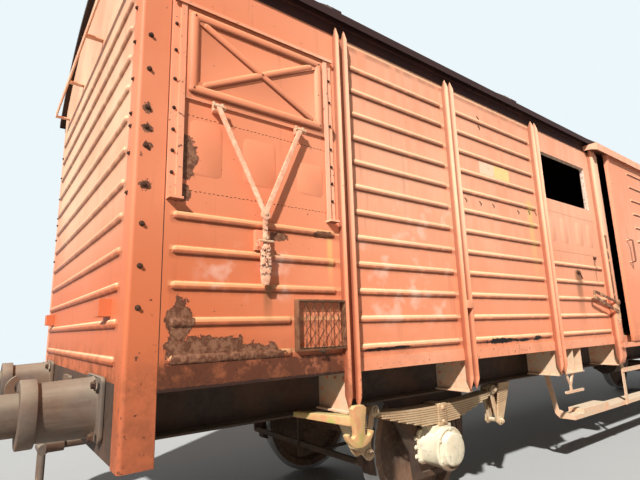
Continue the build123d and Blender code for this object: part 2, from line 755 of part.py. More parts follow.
# Spring buckles: a band shrunk round the middle of each pack, standing on the axle box
with BuildPart() as spring_buckles:
    for x in (-WHEEL_X, WHEEL_X):
        with BuildSketch(Plane.YZ.offset(x - BUCKLE_WIDTH / 2)):
            low = above_rail(BOX_SEAT_TOP)
            high = SPRING_TOP + BUCKLE_PLATE
            with Locations((-JOURNAL_Y, (low + high) / 2)):
                Rectangle(LEAF_WIDTH + 2 * BUCKLE_PLATE, high - low)
                Rectangle(LEAF_WIDTH, high - low - 2 * BUCKLE_PLATE + 0.6, mode=Mode.SUBTRACT)
        extrude(amount=BUCKLE_WIDTH)
    mirror(about=Plane.XZ)
finish(spring_buckles, "spring_buckles")

# Spring links: paired plates with two pins, hung from the spring's eye down to the bracket
BRACKET_PIN_X = 765
BRACKET_PIN_HEIGHT = 575
LINK_INNER = 34
LINK_PLATE = 9
LINK_HALF_WIDTH = 24
BRACKET_CHEEK = 14
BRACKET_INNER = 50
PIN_HALF_LENGTH = 70


def capsule(start, end, radius):
    """A round-ended bar outline between two points of the sketch's plane."""
    turn = degrees(atan2(end[1] - start[1], end[0] - start[0]))
    length = sqrt((end[0] - start[0]) ** 2 + (end[1] - start[1]) ** 2)
    with Locations(Location(((start[0] + end[0]) / 2, (start[1] + end[1]) / 2), turn)):
        SlotCenterToCenter(length, 2 * radius)


with BuildPart() as spring_links:
    for x in (-WHEEL_X, WHEEL_X):
        for side in (-1, 1):
            eye = (x + side * EYE_HALF_SPAN, above_rail(EYE_HEIGHT))
            foot = (x + side * BRACKET_PIN_X, above_rail(BRACKET_PIN_HEIGHT))
            for start in (-JOURNAL_Y - LINK_INNER - LINK_PLATE, -JOURNAL_Y + LINK_INNER):
                with BuildSketch(side_plane(start + LINK_PLATE)):
                    capsule(eye, foot, LINK_HALF_WIDTH)
                extrude(amount=LINK_PLATE)
            for pin in (eye, foot):
                half = PIN_HALF_LENGTH if pin == foot else LINK_INNER + LINK_PLATE
                with BuildSketch(side_plane(-JOURNAL_Y + half)):
                    with Locations(pin):
                        Circle(PIN_RADIUS)
                extrude(amount=2 * half)
    mirror(about=Plane.XZ)
finish(spring_links, "spring_links")

# Spring brackets: two cheeks and a back plate under the sole bar, round the link's lower pin
with BuildPart() as spring_brackets:
    for x in (-WHEEL_X, WHEEL_X):
        for side in (-1, 1):
            pin_x = x + side * BRACKET_PIN_X
            pin_z = above_rail(BRACKET_PIN_HEIGHT)
            for inner in (-JOURNAL_Y - BRACKET_INNER, -JOURNAL_Y + BRACKET_INNER + BRACKET_CHEEK):
                with BuildSketch(side_plane(inner)):
                    Polygon((
                        (pin_x - side * 32, pin_z - 12),
                        (pin_x - side * 12, pin_z - 34),
                        (pin_x + side * 16, pin_z - 34),
                        (pin_x + side * 48, pin_z),
                        (pin_x + side * 205, sole_low),
                        (pin_x + side * 30, sole_low),
                    ))
                    with Locations((pin_x, pin_z)):
                        Circle(PIN_RADIUS + PIN_GAP, mode=Mode.SUBTRACT)
                extrude(amount=BRACKET_CHEEK)
            with BuildSketch(side_plane(-JOURNAL_Y + BRACKET_INNER)):
                Polygon((
                    (pin_x + side * 60, pin_z + 30),
                    (pin_x + side * 74, pin_z + 30),
                    (pin_x + side * 205, sole_low),
                    (pin_x + side * 185, sole_low),
                ))
            extrude(amount=2 * BRACKET_INNER)
    mirror(about=Plane.XZ)
finish(spring_brackets, "spring_brackets")

# Buffers: a stepped housing on each headstock and a head on its plunger
BUFFER_Y = BUFFER_CENTRES / 2
HOUSING_RADIUS = 130
HOUSING_LENGTH = 330
HOUSING_FLANGE_RADIUS = 180
PLUNGER_RADIUS = 95
HEAD_THICKNESS = 30
BUFFER_REACH = LENGTH_OVER_BUFFERS / 2


def buffer_plane(distance, y):
    """A plane across a buffer of end A, at a distance from the wagon's middle, facing outwards."""
    return Plane(origin=(-distance, y, above_rail(BUFFER_HEIGHT)), x_dir=(0, -1, 0), z_dir=(-1, 0, 0))


with BuildPart() as buffer_housings:
    for y in (-BUFFER_Y, BUFFER_Y):
        with BuildSketch(buffer_plane(HALF_LENGTH, y)):
            RectangleRounded(2 * HOUSING_FLANGE_RADIUS, 2 * HOUSING_FLANGE_RADIUS - 60, 40)
        extrude(amount=22)
        with BuildSketch(buffer_plane(HALF_LENGTH + 22, y)):
            Circle(HOUSING_RADIUS + 12)
        extrude(amount=HOUSING_LENGTH - 92, taper=2.5)
        with BuildSketch(buffer_plane(HALF_LENGTH + HOUSING_LENGTH - 70, y)):
            Circle(HOUSING_RADIUS + 22)
        extrude(amount=70)
        with BuildSketch(buffer_plane(HALF_LENGTH + 60, y)):
            Circle(PLUNGER_RADIUS + PIN_GAP)
        extrude(amount=HOUSING_LENGTH, mode=Mode.SUBTRACT)
    mirror(about=Plane.YZ)
finish(buffer_housings, "buffer_housings")


def buffer_head(y, crown):
    """Plunger and head of one buffer at end A; a crowned head has a shallow cone round its centre."""
    head_back = BUFFER_REACH - HEAD_THICKNESS - crown
    plunger_back = HALF_LENGTH + 60 + PIN_GAP
    with BuildSketch(buffer_plane(plunger_back, y)) as plunger:
        Circle(PLUNGER_RADIUS)
    extrude(plunger.sketch, amount=head_back - plunger_back)
    with BuildSketch(buffer_plane(head_back - 40, y)) as neck:
        Circle(PLUNGER_RADIUS)
    extrude(neck.sketch, amount=40, taper=-56)
    with BuildSketch(buffer_plane(head_back, y)) as plate:
        Circle(BUFFER_HEAD_RADIUS)
    extrude(plate.sketch, amount=HEAD_THICKNESS)
    if crown:
        with BuildSketch(buffer_plane(head_back + HEAD_THICKNESS, y)) as face:
            Circle(BUFFER_HEAD_RADIUS - 10)
        extrude(face.sketch, amount=crown, taper=82)


with BuildPart() as buffers:
    buffer_head(-BUFFER_Y, 0)
    buffer_head(BUFFER_Y, 14)
    add(buffers.part.rotate(Axis.Z, 180))
finish(buffers, "buffers")

# Draw hooks: a hook plate on a square shank that passes through the headstock's plate
HOOK_THICKNESS = 55
hook_z = above_rail(BUFFER_HEIGHT)
hook_base_x = -HALF_LENGTH - 20

with BuildPart() as draw_hooks:
    with BuildSketch(buffer_plane(HALF_LENGTH, 0)):
        RectangleRounded(230, 190, 20)
    extrude(amount=20)
    with BuildSketch(side_plane(HOOK_THICKNESS / 2)):
        with BuildLine():
            Polyline(
                (hook_base_x, hook_z - 30),
                (hook_base_x - 150, hook_z - 30),
                (hook_base_x - 215, hook_z - 62),
            )
            ThreePointArc(
                (hook_base_x - 215, hook_z - 62),
                (hook_base_x - 322, hook_z + 18),
                (hook_base_x - 268, hook_z + 112),
            )
            Line((hook_base_x - 268, hook_z + 112), (hook_base_x - 240, hook_z + 84))
            ThreePointArc(
                (hook_base_x - 240, hook_z + 84),
                (hook_base_x - 246, hook_z + 2),
                (hook_base_x - 188, hook_z + 34),
            )
            Polyline(
                (hook_base_x - 188, hook_z + 34),
                (hook_base_x - 150, hook_z + 50),
                (hook_base_x, hook_z + 30),
                (hook_base_x, hook_z - 30),
            )
        make_face()
        with Locations((hook_base_x - 118, hook_z + 4)):
            Circle(22, mode=Mode.SUBTRACT)
    extrude(amount=HOOK_THICKNESS)
    add(draw_hooks.part.rotate(Axis.Z, 180))
finish(draw_hooks, "draw_hooks")

# Screw couplings: they hang from a pin in each hook, a pair of links, the screw and the end shackle
COUPLING_BAR = 17
COUPLING_HALF = 48
coupling_pin = (hook_base_x - 118, hook_z + 4)
coupling_nut = (hook_base_x - 108, hook_z - 168)
coupling_block = (hook_base_x - 100, hook_z - 330)

with BuildPart() as screw_couplings:
    with BuildSketch(side_plane(COUPLING_HALF + 22)):
        with Locations(coupling_pin):
            Circle(COUPLING_BAR + 4)
    extrude(amount=2 * COUPLING_HALF + 44)
    for start in (COUPLING_HALF + 14, -COUPLING_HALF):
        with BuildSketch(side_plane(start)):
            capsule(coupling_pin, coupling_nut, 28)
        extrude(amount=14)
    for centre in (coupling_nut, coupling_block):
        with BuildSketch(side_plane(COUPLING_HALF + 26)):
            with Locations(centre):
                Circle(30)
        extrude(amount=2 * COUPLING_HALF + 52)
    with BuildSketch(Plane.XY.offset(coupling_block[1])):
        with Locations(((coupling_nut[0] + coupling_block[0]) / 2, 0)):
            Circle(19)
    extrude(amount=coupling_nut[1] - coupling_block[1])
    shackle_path_y = COUPLING_HALF + 10
    with BuildLine() as shackle_path:
        shackle_low = coupling_block[1] - 215
        FilletPolyline(
            (coupling_block[0], -shackle_path_y, coupling_block[1]),
            (coupling_block[0], -shackle_path_y, shackle_low),
            (coupling_block[0], shackle_path_y, shackle_low),
            (coupling_block[0], shackle_path_y, coupling_block[1]),
            radius=shackle_path_y - 4,
        )
    with BuildSketch(Plane(origin=(coupling_block[0], -shackle_path_y, coupling_block[1]), z_dir=(0, 0, -1))):
        Circle(COUPLING_BAR)
    sweep(path=shackle_path.line)
    add(screw_couplings.part.rotate(Axis.Z, 180))
finish(screw_couplings, "screw_couplings")

# Rope hooks: a double-horned hook under the first post of each side, on an arm from the sole bar
ROPE_HOOK_THICKNESS = 34
ROPE_HOOK_FACE = POST_TIP_Y
ROPE_ARM_Z = 882
ROPE_ARM_HEIGHT = 48
rope_x = POST_EDGES[0] + 25


def rope_hook_outline():
    """Shank and two upturned horns, as in an anchor, in the plane of the side."""
    z = above_rail(POST_FOOT)
    with BuildLine() as outline:
        Polyline(
            (rope_x - 34, z - 108), (rope_x - 40, z - 40), (rope_x - 52, z + 20), (rope_x - 30, z + 36),
            (rope_x + 30, z + 36), (rope_x + 52, z + 20), (rope_x + 40, z - 40), (rope_x + 34, z - 108),
        )
        ThreePointArc((rope_x + 34, z - 108), (rope_x + 58, z - 132), (rope_x + 78, z - 104))
        Line((rope_x + 78, z - 104), (rope_x + 102, z - 110))
        ThreePointArc((rope_x + 102, z - 110), (rope_x, z - 186), (rope_x - 102, z - 110))
        Line((rope_x - 102, z - 110), (rope_x - 78, z - 104))
        ThreePointArc((rope_x - 78, z - 104), (rope_x - 58, z - 132), (rope_x - 34, z - 108))
    make_face(outline.line)


with BuildPart() as rope_hooks:
    with BuildSketch(side_plane(-ROPE_HOOK_FACE)):
        rope_hook_outline()
    extrude(amount=ROPE_HOOK_THICKNESS)
    with BuildSketch(side_plane(-ROPE_HOOK_FACE)):
        with Locations((rope_x, above_rail(ROPE_ARM_Z))):
            Rectangle(96, ROPE_ARM_HEIGHT)
    with BuildSketch(side_plane(-SOLE_FLANGE_TIP)):
        with Locations((rope_x - 170, sole_low + 16)):
            Rectangle(36, 30)
    loft()
    mirror(about=Plane.YZ)
    mirror(about=Plane.XZ)
finish(rope_hooks, "rope_hooks")

# Doors: beaded leaves on rollers, guided by a bar above them
DOOR_FRAME = 62
DOOR_FRAME_HEIGHT = 8
DOOR_BOTTOM = LOWER_RAIL_TOP + 10
DOOR_TOP = 3372
DOOR_GROOVE = 42
DOOR_BEAD_TOP_ROW = 3200
DOOR_BEAD_PITCH = 175
DOOR_BEAD_ROWS = 12
DOOR_FLAT_MARGIN = 570
ROLLER_RADIUS = 45
ROLLER_FLANGE = 10
ROLLER_INSET = 420
door_inner = HALF_WIDTH + DOOR_STANDOFF
door_outer = door_inner + DOOR_LEAF_THICKNESS
door_middle = (door_inner + door_outer) / 2
door_left = -DOOR_LEAF_WIDTH / 2 + DOOR_AJAR
door_right = door_left + DOOR_LEAF_WIDTH
ROLLER_SEAT_GAP = 0.3


def door_leaf():
    """The near door as it stands, partly open, added to the sub-part being built."""
    low = above_rail(DOOR_BOTTOM)
    high = above_rail(DOOR_TOP)
    slab((door_left, door_right), (-door_outer, -door_inner), (low, high))
    with BuildSketch(side_plane(-door_outer)) as border:
        with Locations(((door_left + door_right) / 2, (low + high) / 2)):
            Rectangle(DOOR_LEAF_WIDTH, high - low)
            Rectangle(DOOR_LEAF_WIDTH - 2 * DOOR_FRAME, high - low - 2 * DOOR_FRAME, mode=Mode.SUBTRACT)
    extrude(border.sketch, amount=DOOR_FRAME_HEIGHT)
    with BuildSketch(side_plane(-door_outer)) as beads:
        for row in range(DOOR_BEAD_ROWS):
            start = door_left + DOOR_FLAT_MARGIN
            end = door_right - DOOR_FRAME - BEAD_END_GAP
            with Locations(((start + end) / 2, above_rail(DOOR_BEAD_TOP_ROW - DOOR_BEAD_PITCH * row))):
                Rectangle(end - start, BEAD_WIDTH)
    extrude(beads.sketch, amount=BEAD_HEIGHT, taper=BEAD_SLOPE)
    groove = RAIL_BAR / 2 + 5
    slab(
        (door_left, door_right),
        (-door_middle - groove, -door_middle + groove),
        (high - DOOR_GROOVE, high),
        Mode.SUBTRACT,
    )
    for x in (door_left + ROLLER_INSET, door_right - ROLLER_INSET):
        slab((x - 70, x + 70), (-door_outer, -door_inner), (low, low + 100), Mode.SUBTRACT)
        roller_z = above_rail(LOWER_RAIL_TOP) + ROLLER_RADIUS + ROLLER_SEAT_GAP
        cheek = RAIL_BAR / 2 + 5
        for start, thickness, radius in (
            (-door_middle + cheek, 2 * cheek, ROLLER_RADIUS),
            (-door_middle + cheek + 5, 5, ROLLER_RADIUS + ROLLER_FLANGE),
            (-door_middle - cheek, 5, ROLLER_RADIUS + ROLLER_FLANGE),
        ):
            with BuildSketch(side_plane(start)) as roller:
                with Locations((x, roller_z)):
                    Circle(radius)
            extrude(roller.sketch, amount=thickness)
        for y in ((-door_inner - 5, -door_inner), (-door_outer, -door_outer + 5)):
            slab((x - 10, x + 10), y, (roller_z - 17, roller_z + 73))


DOOR_HANDLE_X = 230
DOOR_HANDLE_LOW = 2050
DOOR_HANDLE_HIGH = 2310
DOOR_HANDLE_RADIUS = 9
DOOR_HANDLE_REACH = 62


def door_handle():
    """A round grip bent out from the leaf near its leading edge."""
    x = door_left + DOOR_HANDLE_X
    with BuildLine() as grip:
        FilletPolyline(
            (x, -door_outer + 2, above_rail(DOOR_HANDLE_LOW)),
            (x, -door_outer - DOOR_HANDLE_REACH, above_rail(DOOR_HANDLE_LOW)),
            (x, -door_outer - DOOR_HANDLE_REACH, above_rail(DOOR_HANDLE_HIGH)),
            (x, -door_outer + 2, above_rail(DOOR_HANDLE_HIGH)),
            radius=20,
        )
    with BuildSketch(Plane(origin=grip.line @ 0, z_dir=grip.line % 0)) as section:
        Circle(DOOR_HANDLE_RADIUS)
    sweep(section.sketch, path=grip.line)


with BuildPart() as door_near:
    door_leaf()
    door_handle()
finish(door_near, "door_near")

with BuildPart() as door_far:
    add(door_near.part.rotate(Axis.Z, 180))
finish(door_far, "door_far")

# Door rails: a running rail on brackets below, and a guide bar under a rain cover above
RAIL_START = -DOOR_HALF - DOOR_POST_WIDTH
LOWER_RAIL_END = -POST_EDGES[1]
COVER_START = RAIL_START - 70
COVER_END = DOOR_HALF + DOOR_LEAF_WIDTH + 120
COVER_PLATE = 8
COVER_HEIGHT = 3385
COVER_SKIRT = 78
COVER_EDGE = door_outer + 46
bracket_outer = door_middle - RAIL_BAR / 2

with BuildPart() as door_rails:
    rail_y = (-door_middle - RAIL_BAR / 2, -door_middle + RAIL_BAR / 2)
    rail_z = (above_rail(LOWER_RAIL_TOP - RAIL_HEIGHT), above_rail(LOWER_RAIL_TOP))
    slab((RAIL_START, LOWER_RAIL_END), rail_y, rail_z)
    bracket_z = (rail_z[0], rail_z[1] - 16)
    post_middles = tuple(-left - POST_WIDTH / 2 for left in POST_EDGES[1:])
    for x, half in (
        (-DOOR_HALF - DOOR_POST_WIDTH / 2, 50),
        (DOOR_HALF + DOOR_POST_WIDTH / 2, 50),
        (post_middles[0], POST_WIDTH / 2),
        (post_middles[1], POST_WIDTH / 2),
    ):
        slab((x - half, x + half), (-bracket_outer, -POST_TIP_Y), bracket_z)
    slab((-60, 60), (-bracket_outer, -HALF_WIDTH), (above_rail(SILL_BOTTOM) - 22, above_rail(SILL_BOTTOM) - 10))
    slab((-60, 60), (-HALF_WIDTH - 10, -HALF_WIDTH), (above_rail(SILL_BOTTOM) - 22, above_rail(SILL_TOP) - 10))

    cover_z = (above_rail(COVER_HEIGHT), above_rail(COVER_HEIGHT) + COVER_PLATE)
    slab((COVER_START, COVER_END), (-COVER_EDGE, -HALF_WIDTH), cover_z)
    skirt_z = (above_rail(COVER_HEIGHT) - COVER_SKIRT, cover_z[1])
    slab((COVER_START, COVER_END), (-COVER_EDGE, -COVER_EDGE + COVER_PLATE), skirt_z)
    slab((COVER_START, COVER_END), rail_y, (cover_z[0] - 38, cover_z[0]))
    with BuildSketch(Plane.YZ.offset(COVER_START)):
        Polygon((
            (-COVER_EDGE, skirt_z[0]),
            (-COVER_EDGE, cover_z[1]),
            (-HALF_WIDTH, cover_z[1]),
            (-HALF_WIDTH, cover_z[0] - 50),
            (-POST_TIP_Y - 8, cover_z[0] - 50),
        ))
    extrude(amount=COVER_PLATE)
    add(door_rails.part.rotate(Axis.Z, 180))
finish(door_rails, "door_rails")

# Door locks: a hasp plate on the door post and a forked lever that lies along the last bay
LOCK_Z = 1540
LOCK_FACE = POST_TIP_Y
LOCK_LEVER_LENGTH = 560
LOCK_PLATE = 8
LOCK_ROD_RADIUS = 8
LOCK_ROD_TOP = 2315

with BuildPart() as door_locks:
    lock_x = -DOOR_HALF - DOOR_POST_WIDTH / 2
    with BuildSketch(side_plane(-LOCK_FACE)):
        Polygon((
            (lock_x - 52, above_rail(LOCK_Z - 130)),
            (lock_x - 52, above_rail(LOCK_Z + 60)),
            (lock_x + 20, above_rail(LOCK_Z + 60)),
            (lock_x + 52, above_rail(LOCK_Z + 10)),
            (lock_x + 40, above_rail(LOCK_Z - 60)),
            (lock_x + 52, above_rail(LOCK_Z - 100)),
            (lock_x + 10, above_rail(LOCK_Z - 190)),
            (lock_x - 20, above_rail(LOCK_Z - 190)),
        ))
    extrude(amount=LOCK_PLATE)
    tip_x = lock_x - LOCK_LEVER_LENGTH
    with BuildSketch(side_plane(-LOCK_FACE - LOCK_PLATE)):
        capsule((lock_x - 8, above_rail(LOCK_Z + 42)), (tip_x, above_rail(LOCK_Z + 150)), 13)
        capsule((lock_x - 20, above_rail(LOCK_Z - 60)), (tip_x - 10, above_rail(LOCK_Z + 92)), 15)
        capsule((tip_x, above_rail(LOCK_Z + 150)), (tip_x - 10, above_rail(LOCK_Z + 92)), 13)
    extrude(amount=12)
    with BuildSketch(side_plane(-LOCK_FACE - LOCK_PLATE)):
        with Locations((lock_x - 8, above_rail(LOCK_Z + 42))):
            Circle(24)
    extrude(amount=26)
    rod_x = lock_x - DOOR_POST_WIDTH / 2 + LOCK_ROD_RADIUS + 4
    rod_low = above_rail(LOCK_Z + 60)
    rod_high = above_rail(LOCK_ROD_TOP)
    with BuildSketch(Plane.XY.offset(rod_low)):
        with Locations((rod_x, -LOCK_FACE - LOCK_ROD_RADIUS)):
            Circle(LOCK_ROD_RADIUS)
    extrude(amount=rod_high - rod_low)
    for z in (rod_low, rod_high):
        slab((rod_x - 14, rod_x + 34), (-LOCK_FACE - LOCK_PLATE, -LOCK_FACE), (z - 14, z + 14))
    add(door_locks.part.rotate(Axis.Z, 180))
finish(door_locks, "door_locks")

# Shutters: a pressed plate with a raised ring and crossed ribs, and the pull rods fixed to it
RING_WIDTH = 40
RING_INSET = 36
RIB_WIDTH = 30
ROD_WIDTH = 26
ROD_PLATE = 11
ROD_STANDOFF = 42
ROD_APEX = 2005
ROD_LINK_LOW = 1700
LEVER_LOW = 1625
shutter_back = HALF_WIDTH + RUNNING_GAP
shutter_front = shutter_back + SHUTTER_PLATE
rod_back = HALF_WIDTH + ROD_STANDOFF


def shutter(centre, width):
    """One shutter of the near side with its V of rods, added to the sub-part being built."""
    low = above_rail(SHUTTER_BOTTOM)
    high = above_rail(SHUTTER_TOP)
    middle = (low + high) / 2
    height = high - low
    slab((centre - width / 2, centre + width / 2), (-shutter_front, -shutter_back), (low, high))
    ring_width = width - 2 * RING_INSET
    ring_height = height - 2 * RING_INSET
    with BuildSketch(side_plane(-shutter_front)) as ring:
        with Locations((centre, middle)):
            RectangleRounded(ring_width, ring_height, 40)
            RectangleRounded(ring_width - 2 * RING_WIDTH, ring_height - 2 * RING_WIDTH, 12, mode=Mode.SUBTRACT)
    extrude(ring.sketch, amount=SHUTTER_RELIEF)
    reach_x = ring_width / 2 - RING_WIDTH
    reach_z = ring_height / 2 - RING_WIDTH
    tilt = degrees(atan2(reach_z, reach_x))
    with BuildSketch(side_plane(-shutter_front)) as ribs:
        with Locations(Location((centre, middle), tilt), Location((centre, middle), -tilt)):
            Rectangle(2 * sqrt(reach_x**2 + reach_z**2), RIB_WIDTH)
    extrude(ribs.sketch, amount=SHUTTER_RELIEF - 3)
    apex = (centre, above_rail(ROD_APEX))
    lugs = ((centre - 0.3 * width, low - 20), (centre + 0.26 * width, low - 20))
    for lug_x, _ in lugs:
        slab((lug_x - 22, lug_x + 22), (-rod_back, -shutter_back), (low - 40, low))
    with BuildSketch(side_plane(-rod_back)) as rods:
        for lug in lugs:
            capsule(lug, apex, ROD_WIDTH / 2)
        capsule(apex, (centre, above_rail(ROD_LINK_LOW)), ROD_WIDTH / 2)
    extrude(rods.sketch, amount=ROD_PLATE)
    with BuildSketch(side_plane(-rod_back)) as lever:
        with Locations((centre, above_rail(ROD_APEX - 8))):
            Circle(26)
        Polygon((
            (centre - 26, above_rail(ROD_LINK_LOW + 120)),
            (centre + 22, above_rail(ROD_LINK_LOW + 140)),
            (centre + 34, above_rail(ROD_LINK_LOW)),
            (centre + 14, above_rail(LEVER_LOW)),
            (centre - 22, above_rail(LEVER_LOW)),
            (centre - 30, above_rail(ROD_LINK_LOW)),
        ))
    extrude(lever.sketch, amount=ROD_PLATE + 5)


SHUTTER_BAYS = (
    # name, shutter centre, shutter width, on the near side, present on the wagon
    ("shutter_near_1", END_WINDOW_CENTRE, END_SHUTTER_WIDTH, True, True),
    ("shutter_near_2", DOOR_WINDOW_CENTRE, DOOR_SHUTTER_WIDTH, True, False),
    ("shutter_near_3", -DOOR_WINDOW_CENTRE, DOOR_SHUTTER_WIDTH, True, True),
    ("shutter_near_4", -END_WINDOW_CENTRE, END_SHUTTER_WIDTH, True, True),
    ("shutter_far_1", END_WINDOW_CENTRE, END_SHUTTER_WIDTH, False, True),
    ("shutter_far_2", DOOR_WINDOW_CENTRE, DOOR_SHUTTER_WIDTH, False, True),
    ("shutter_far_3", -DOOR_WINDOW_CENTRE, DOOR_SHUTTER_WIDTH, False, True),
    ("shutter_far_4", -END_WINDOW_CENTRE, END_SHUTTER_WIDTH, False, True),
)

for name, centre, shutter_width, near, present in SHUTTER_BAYS:
    if present:
        with BuildPart() as shutter_part:
            shutter(centre, shutter_width)
            if not near:
                mirror(about=Plane.XZ, mode=Mode.REPLACE)
        finish(shutter_part, name)

# Shutter guides: a lipped strip each side of a shutter, a hood above and a catch plate below
GUIDE_STRIP = 8
GUIDE_WIDTH = 48
GUIDE_LIP = 22
GUIDE_LIP_PLATE = 6
GUIDE_LOW = 2020
GUIDE_EDGE_GAP = 8
GUIDE_FOOT_DEPTH = 50
HOOD_JOINT = 0.3
GUIDE_FOOT_PLATE = 12
GUIDE_RUNNING_GAP = 0.5
guide_front = shutter_front + GUIDE_RUNNING_GAP + GUIDE_LIP_PLATE
CATCH_PLATE = 20


def shutter_guides_at(centre, width, facing):
    """Guides, hood and catch for one shutter; facing is -1 on the near side and 1 on the far side."""
    low = above_rail(GUIDE_LOW)
    high = above_rail(SHUTTER_TOP + 8)
    hood_top = high + GUIDE_STRIP
    wall = facing * HALF_WIDTH
    strip = wall + facing * GUIDE_STRIP
    front = facing * guide_front
    lip_back = front - facing * GUIDE_LIP_PLATE
    for side in (-1, 1):
        edge = centre + side * (width / 2 + GUIDE_EDGE_GAP)
        with BuildSketch(Plane.XY.offset(low)) as section:
            Polygon(
                (edge, wall),
                (edge + side * GUIDE_WIDTH, wall),
                (edge + side * GUIDE_WIDTH, strip),
                (edge + side * GUIDE_STRIP, strip),
                (edge + side * GUIDE_STRIP, front),
                (edge - side * GUIDE_LIP, front),
                (edge - side * GUIDE_LIP, lip_back),
                (edge, lip_back),
            )
        extrude(section.sketch, amount=high - low - HOOD_JOINT)
        foot_x = (edge - side * GUIDE_LIP, edge + side * GUIDE_WIDTH)
        slab(foot_x, (wall, wall + facing * GUIDE_FOOT_DEPTH), (low, low + GUIDE_FOOT_PLATE))
    hood_half = width / 2 + GUIDE_EDGE_GAP + GUIDE_WIDTH
    hood_x = (centre - hood_half, centre + hood_half)
    hood_front = front + facing * GUIDE_STRIP
    slab(hood_x, (hood_front, wall), (high, hood_top))
    slab(hood_x, (hood_front, front), (high - 12, hood_top))
    catch_z = (bead_height(8) + bead_height(7)) / 2
    slab((centre - 45, centre + 45), (wall, wall + facing * CATCH_PLATE), (catch_z - 55, catch_z + 55))


with BuildPart() as shutter_guides:
    for _, centre, shutter_width, near, present in SHUTTER_BAYS:
        if present:
            facing = -1 if near else 1
            shutter_guides_at(centre, shutter_width, facing)
finish(shutter_guides, "shutter_guides")

# Label boxes: shallow framed baskets for waybills beside the first post of each side
LABEL_BOX_DEPTH = 40
LABEL_BOX_RIM = 10
LABEL_BAR = 4
LABEL_BARS = 5

with BuildPart() as label_boxes:
    box_middle = (
        LABEL_BOX_LEFT + LABEL_BOX_WIDTH / 2,
        above_rail(LABEL_BOX_BOTTOM + LABEL_BOX_HEIGHT / 2),
    )
    with BuildSketch(side_plane(-HALF_WIDTH)):
        with Locations(box_middle):
            Rectangle(LABEL_BOX_WIDTH, LABEL_BOX_HEIGHT)
            Rectangle(
                LABEL_BOX_WIDTH - 2 * LABEL_BOX_RIM,
                LABEL_BOX_HEIGHT - 2 * LABEL_BOX_RIM,
                mode=Mode.SUBTRACT,
            )
    extrude(amount=LABEL_BOX_DEPTH)
    with BuildSketch(side_plane(-HALF_WIDTH - LABEL_BOX_DEPTH + LABEL_BAR)):
        for index in range(1, LABEL_BARS + 1):
            offset = LABEL_BOX_WIDTH * (index / (LABEL_BARS + 1) - 0.5)
            with Locations((box_middle[0] + offset, box_middle[1])):
                Rectangle(LABEL_BAR, LABEL_BOX_HEIGHT - LABEL_BOX_RIM)
    extrude(amount=LABEL_BAR)
    add(label_boxes.part.rotate(Axis.Z, 180))
finish(label_boxes, "label_boxes")

# Steps: a long tread under each doorway on its hangers, and a stirrup step at two corners
TREAD_HALF_LENGTH = 2180
TREAD_BOTTOM = 450
TREAD_HEIGHT = 40
TREAD_FRONT = 1200
TREAD_BACK = 1050
TREAD_PLATE = 6
HANGER_WIDTH = 60
HANGER_PLATE = 10
HANGER_X = 910
RUNG_BOTTOM = 800
RUNG_HEIGHT = 50
RAISED_TREAD = (-1980, -1390)
STIRRUP_X = HALF_LENGTH - 430
STIRRUP_WIDTH = 320
STIRRUP_BOTTOM = 520
STIRRUP_PITCH = 270
STIRRUP_DEPTH = 120

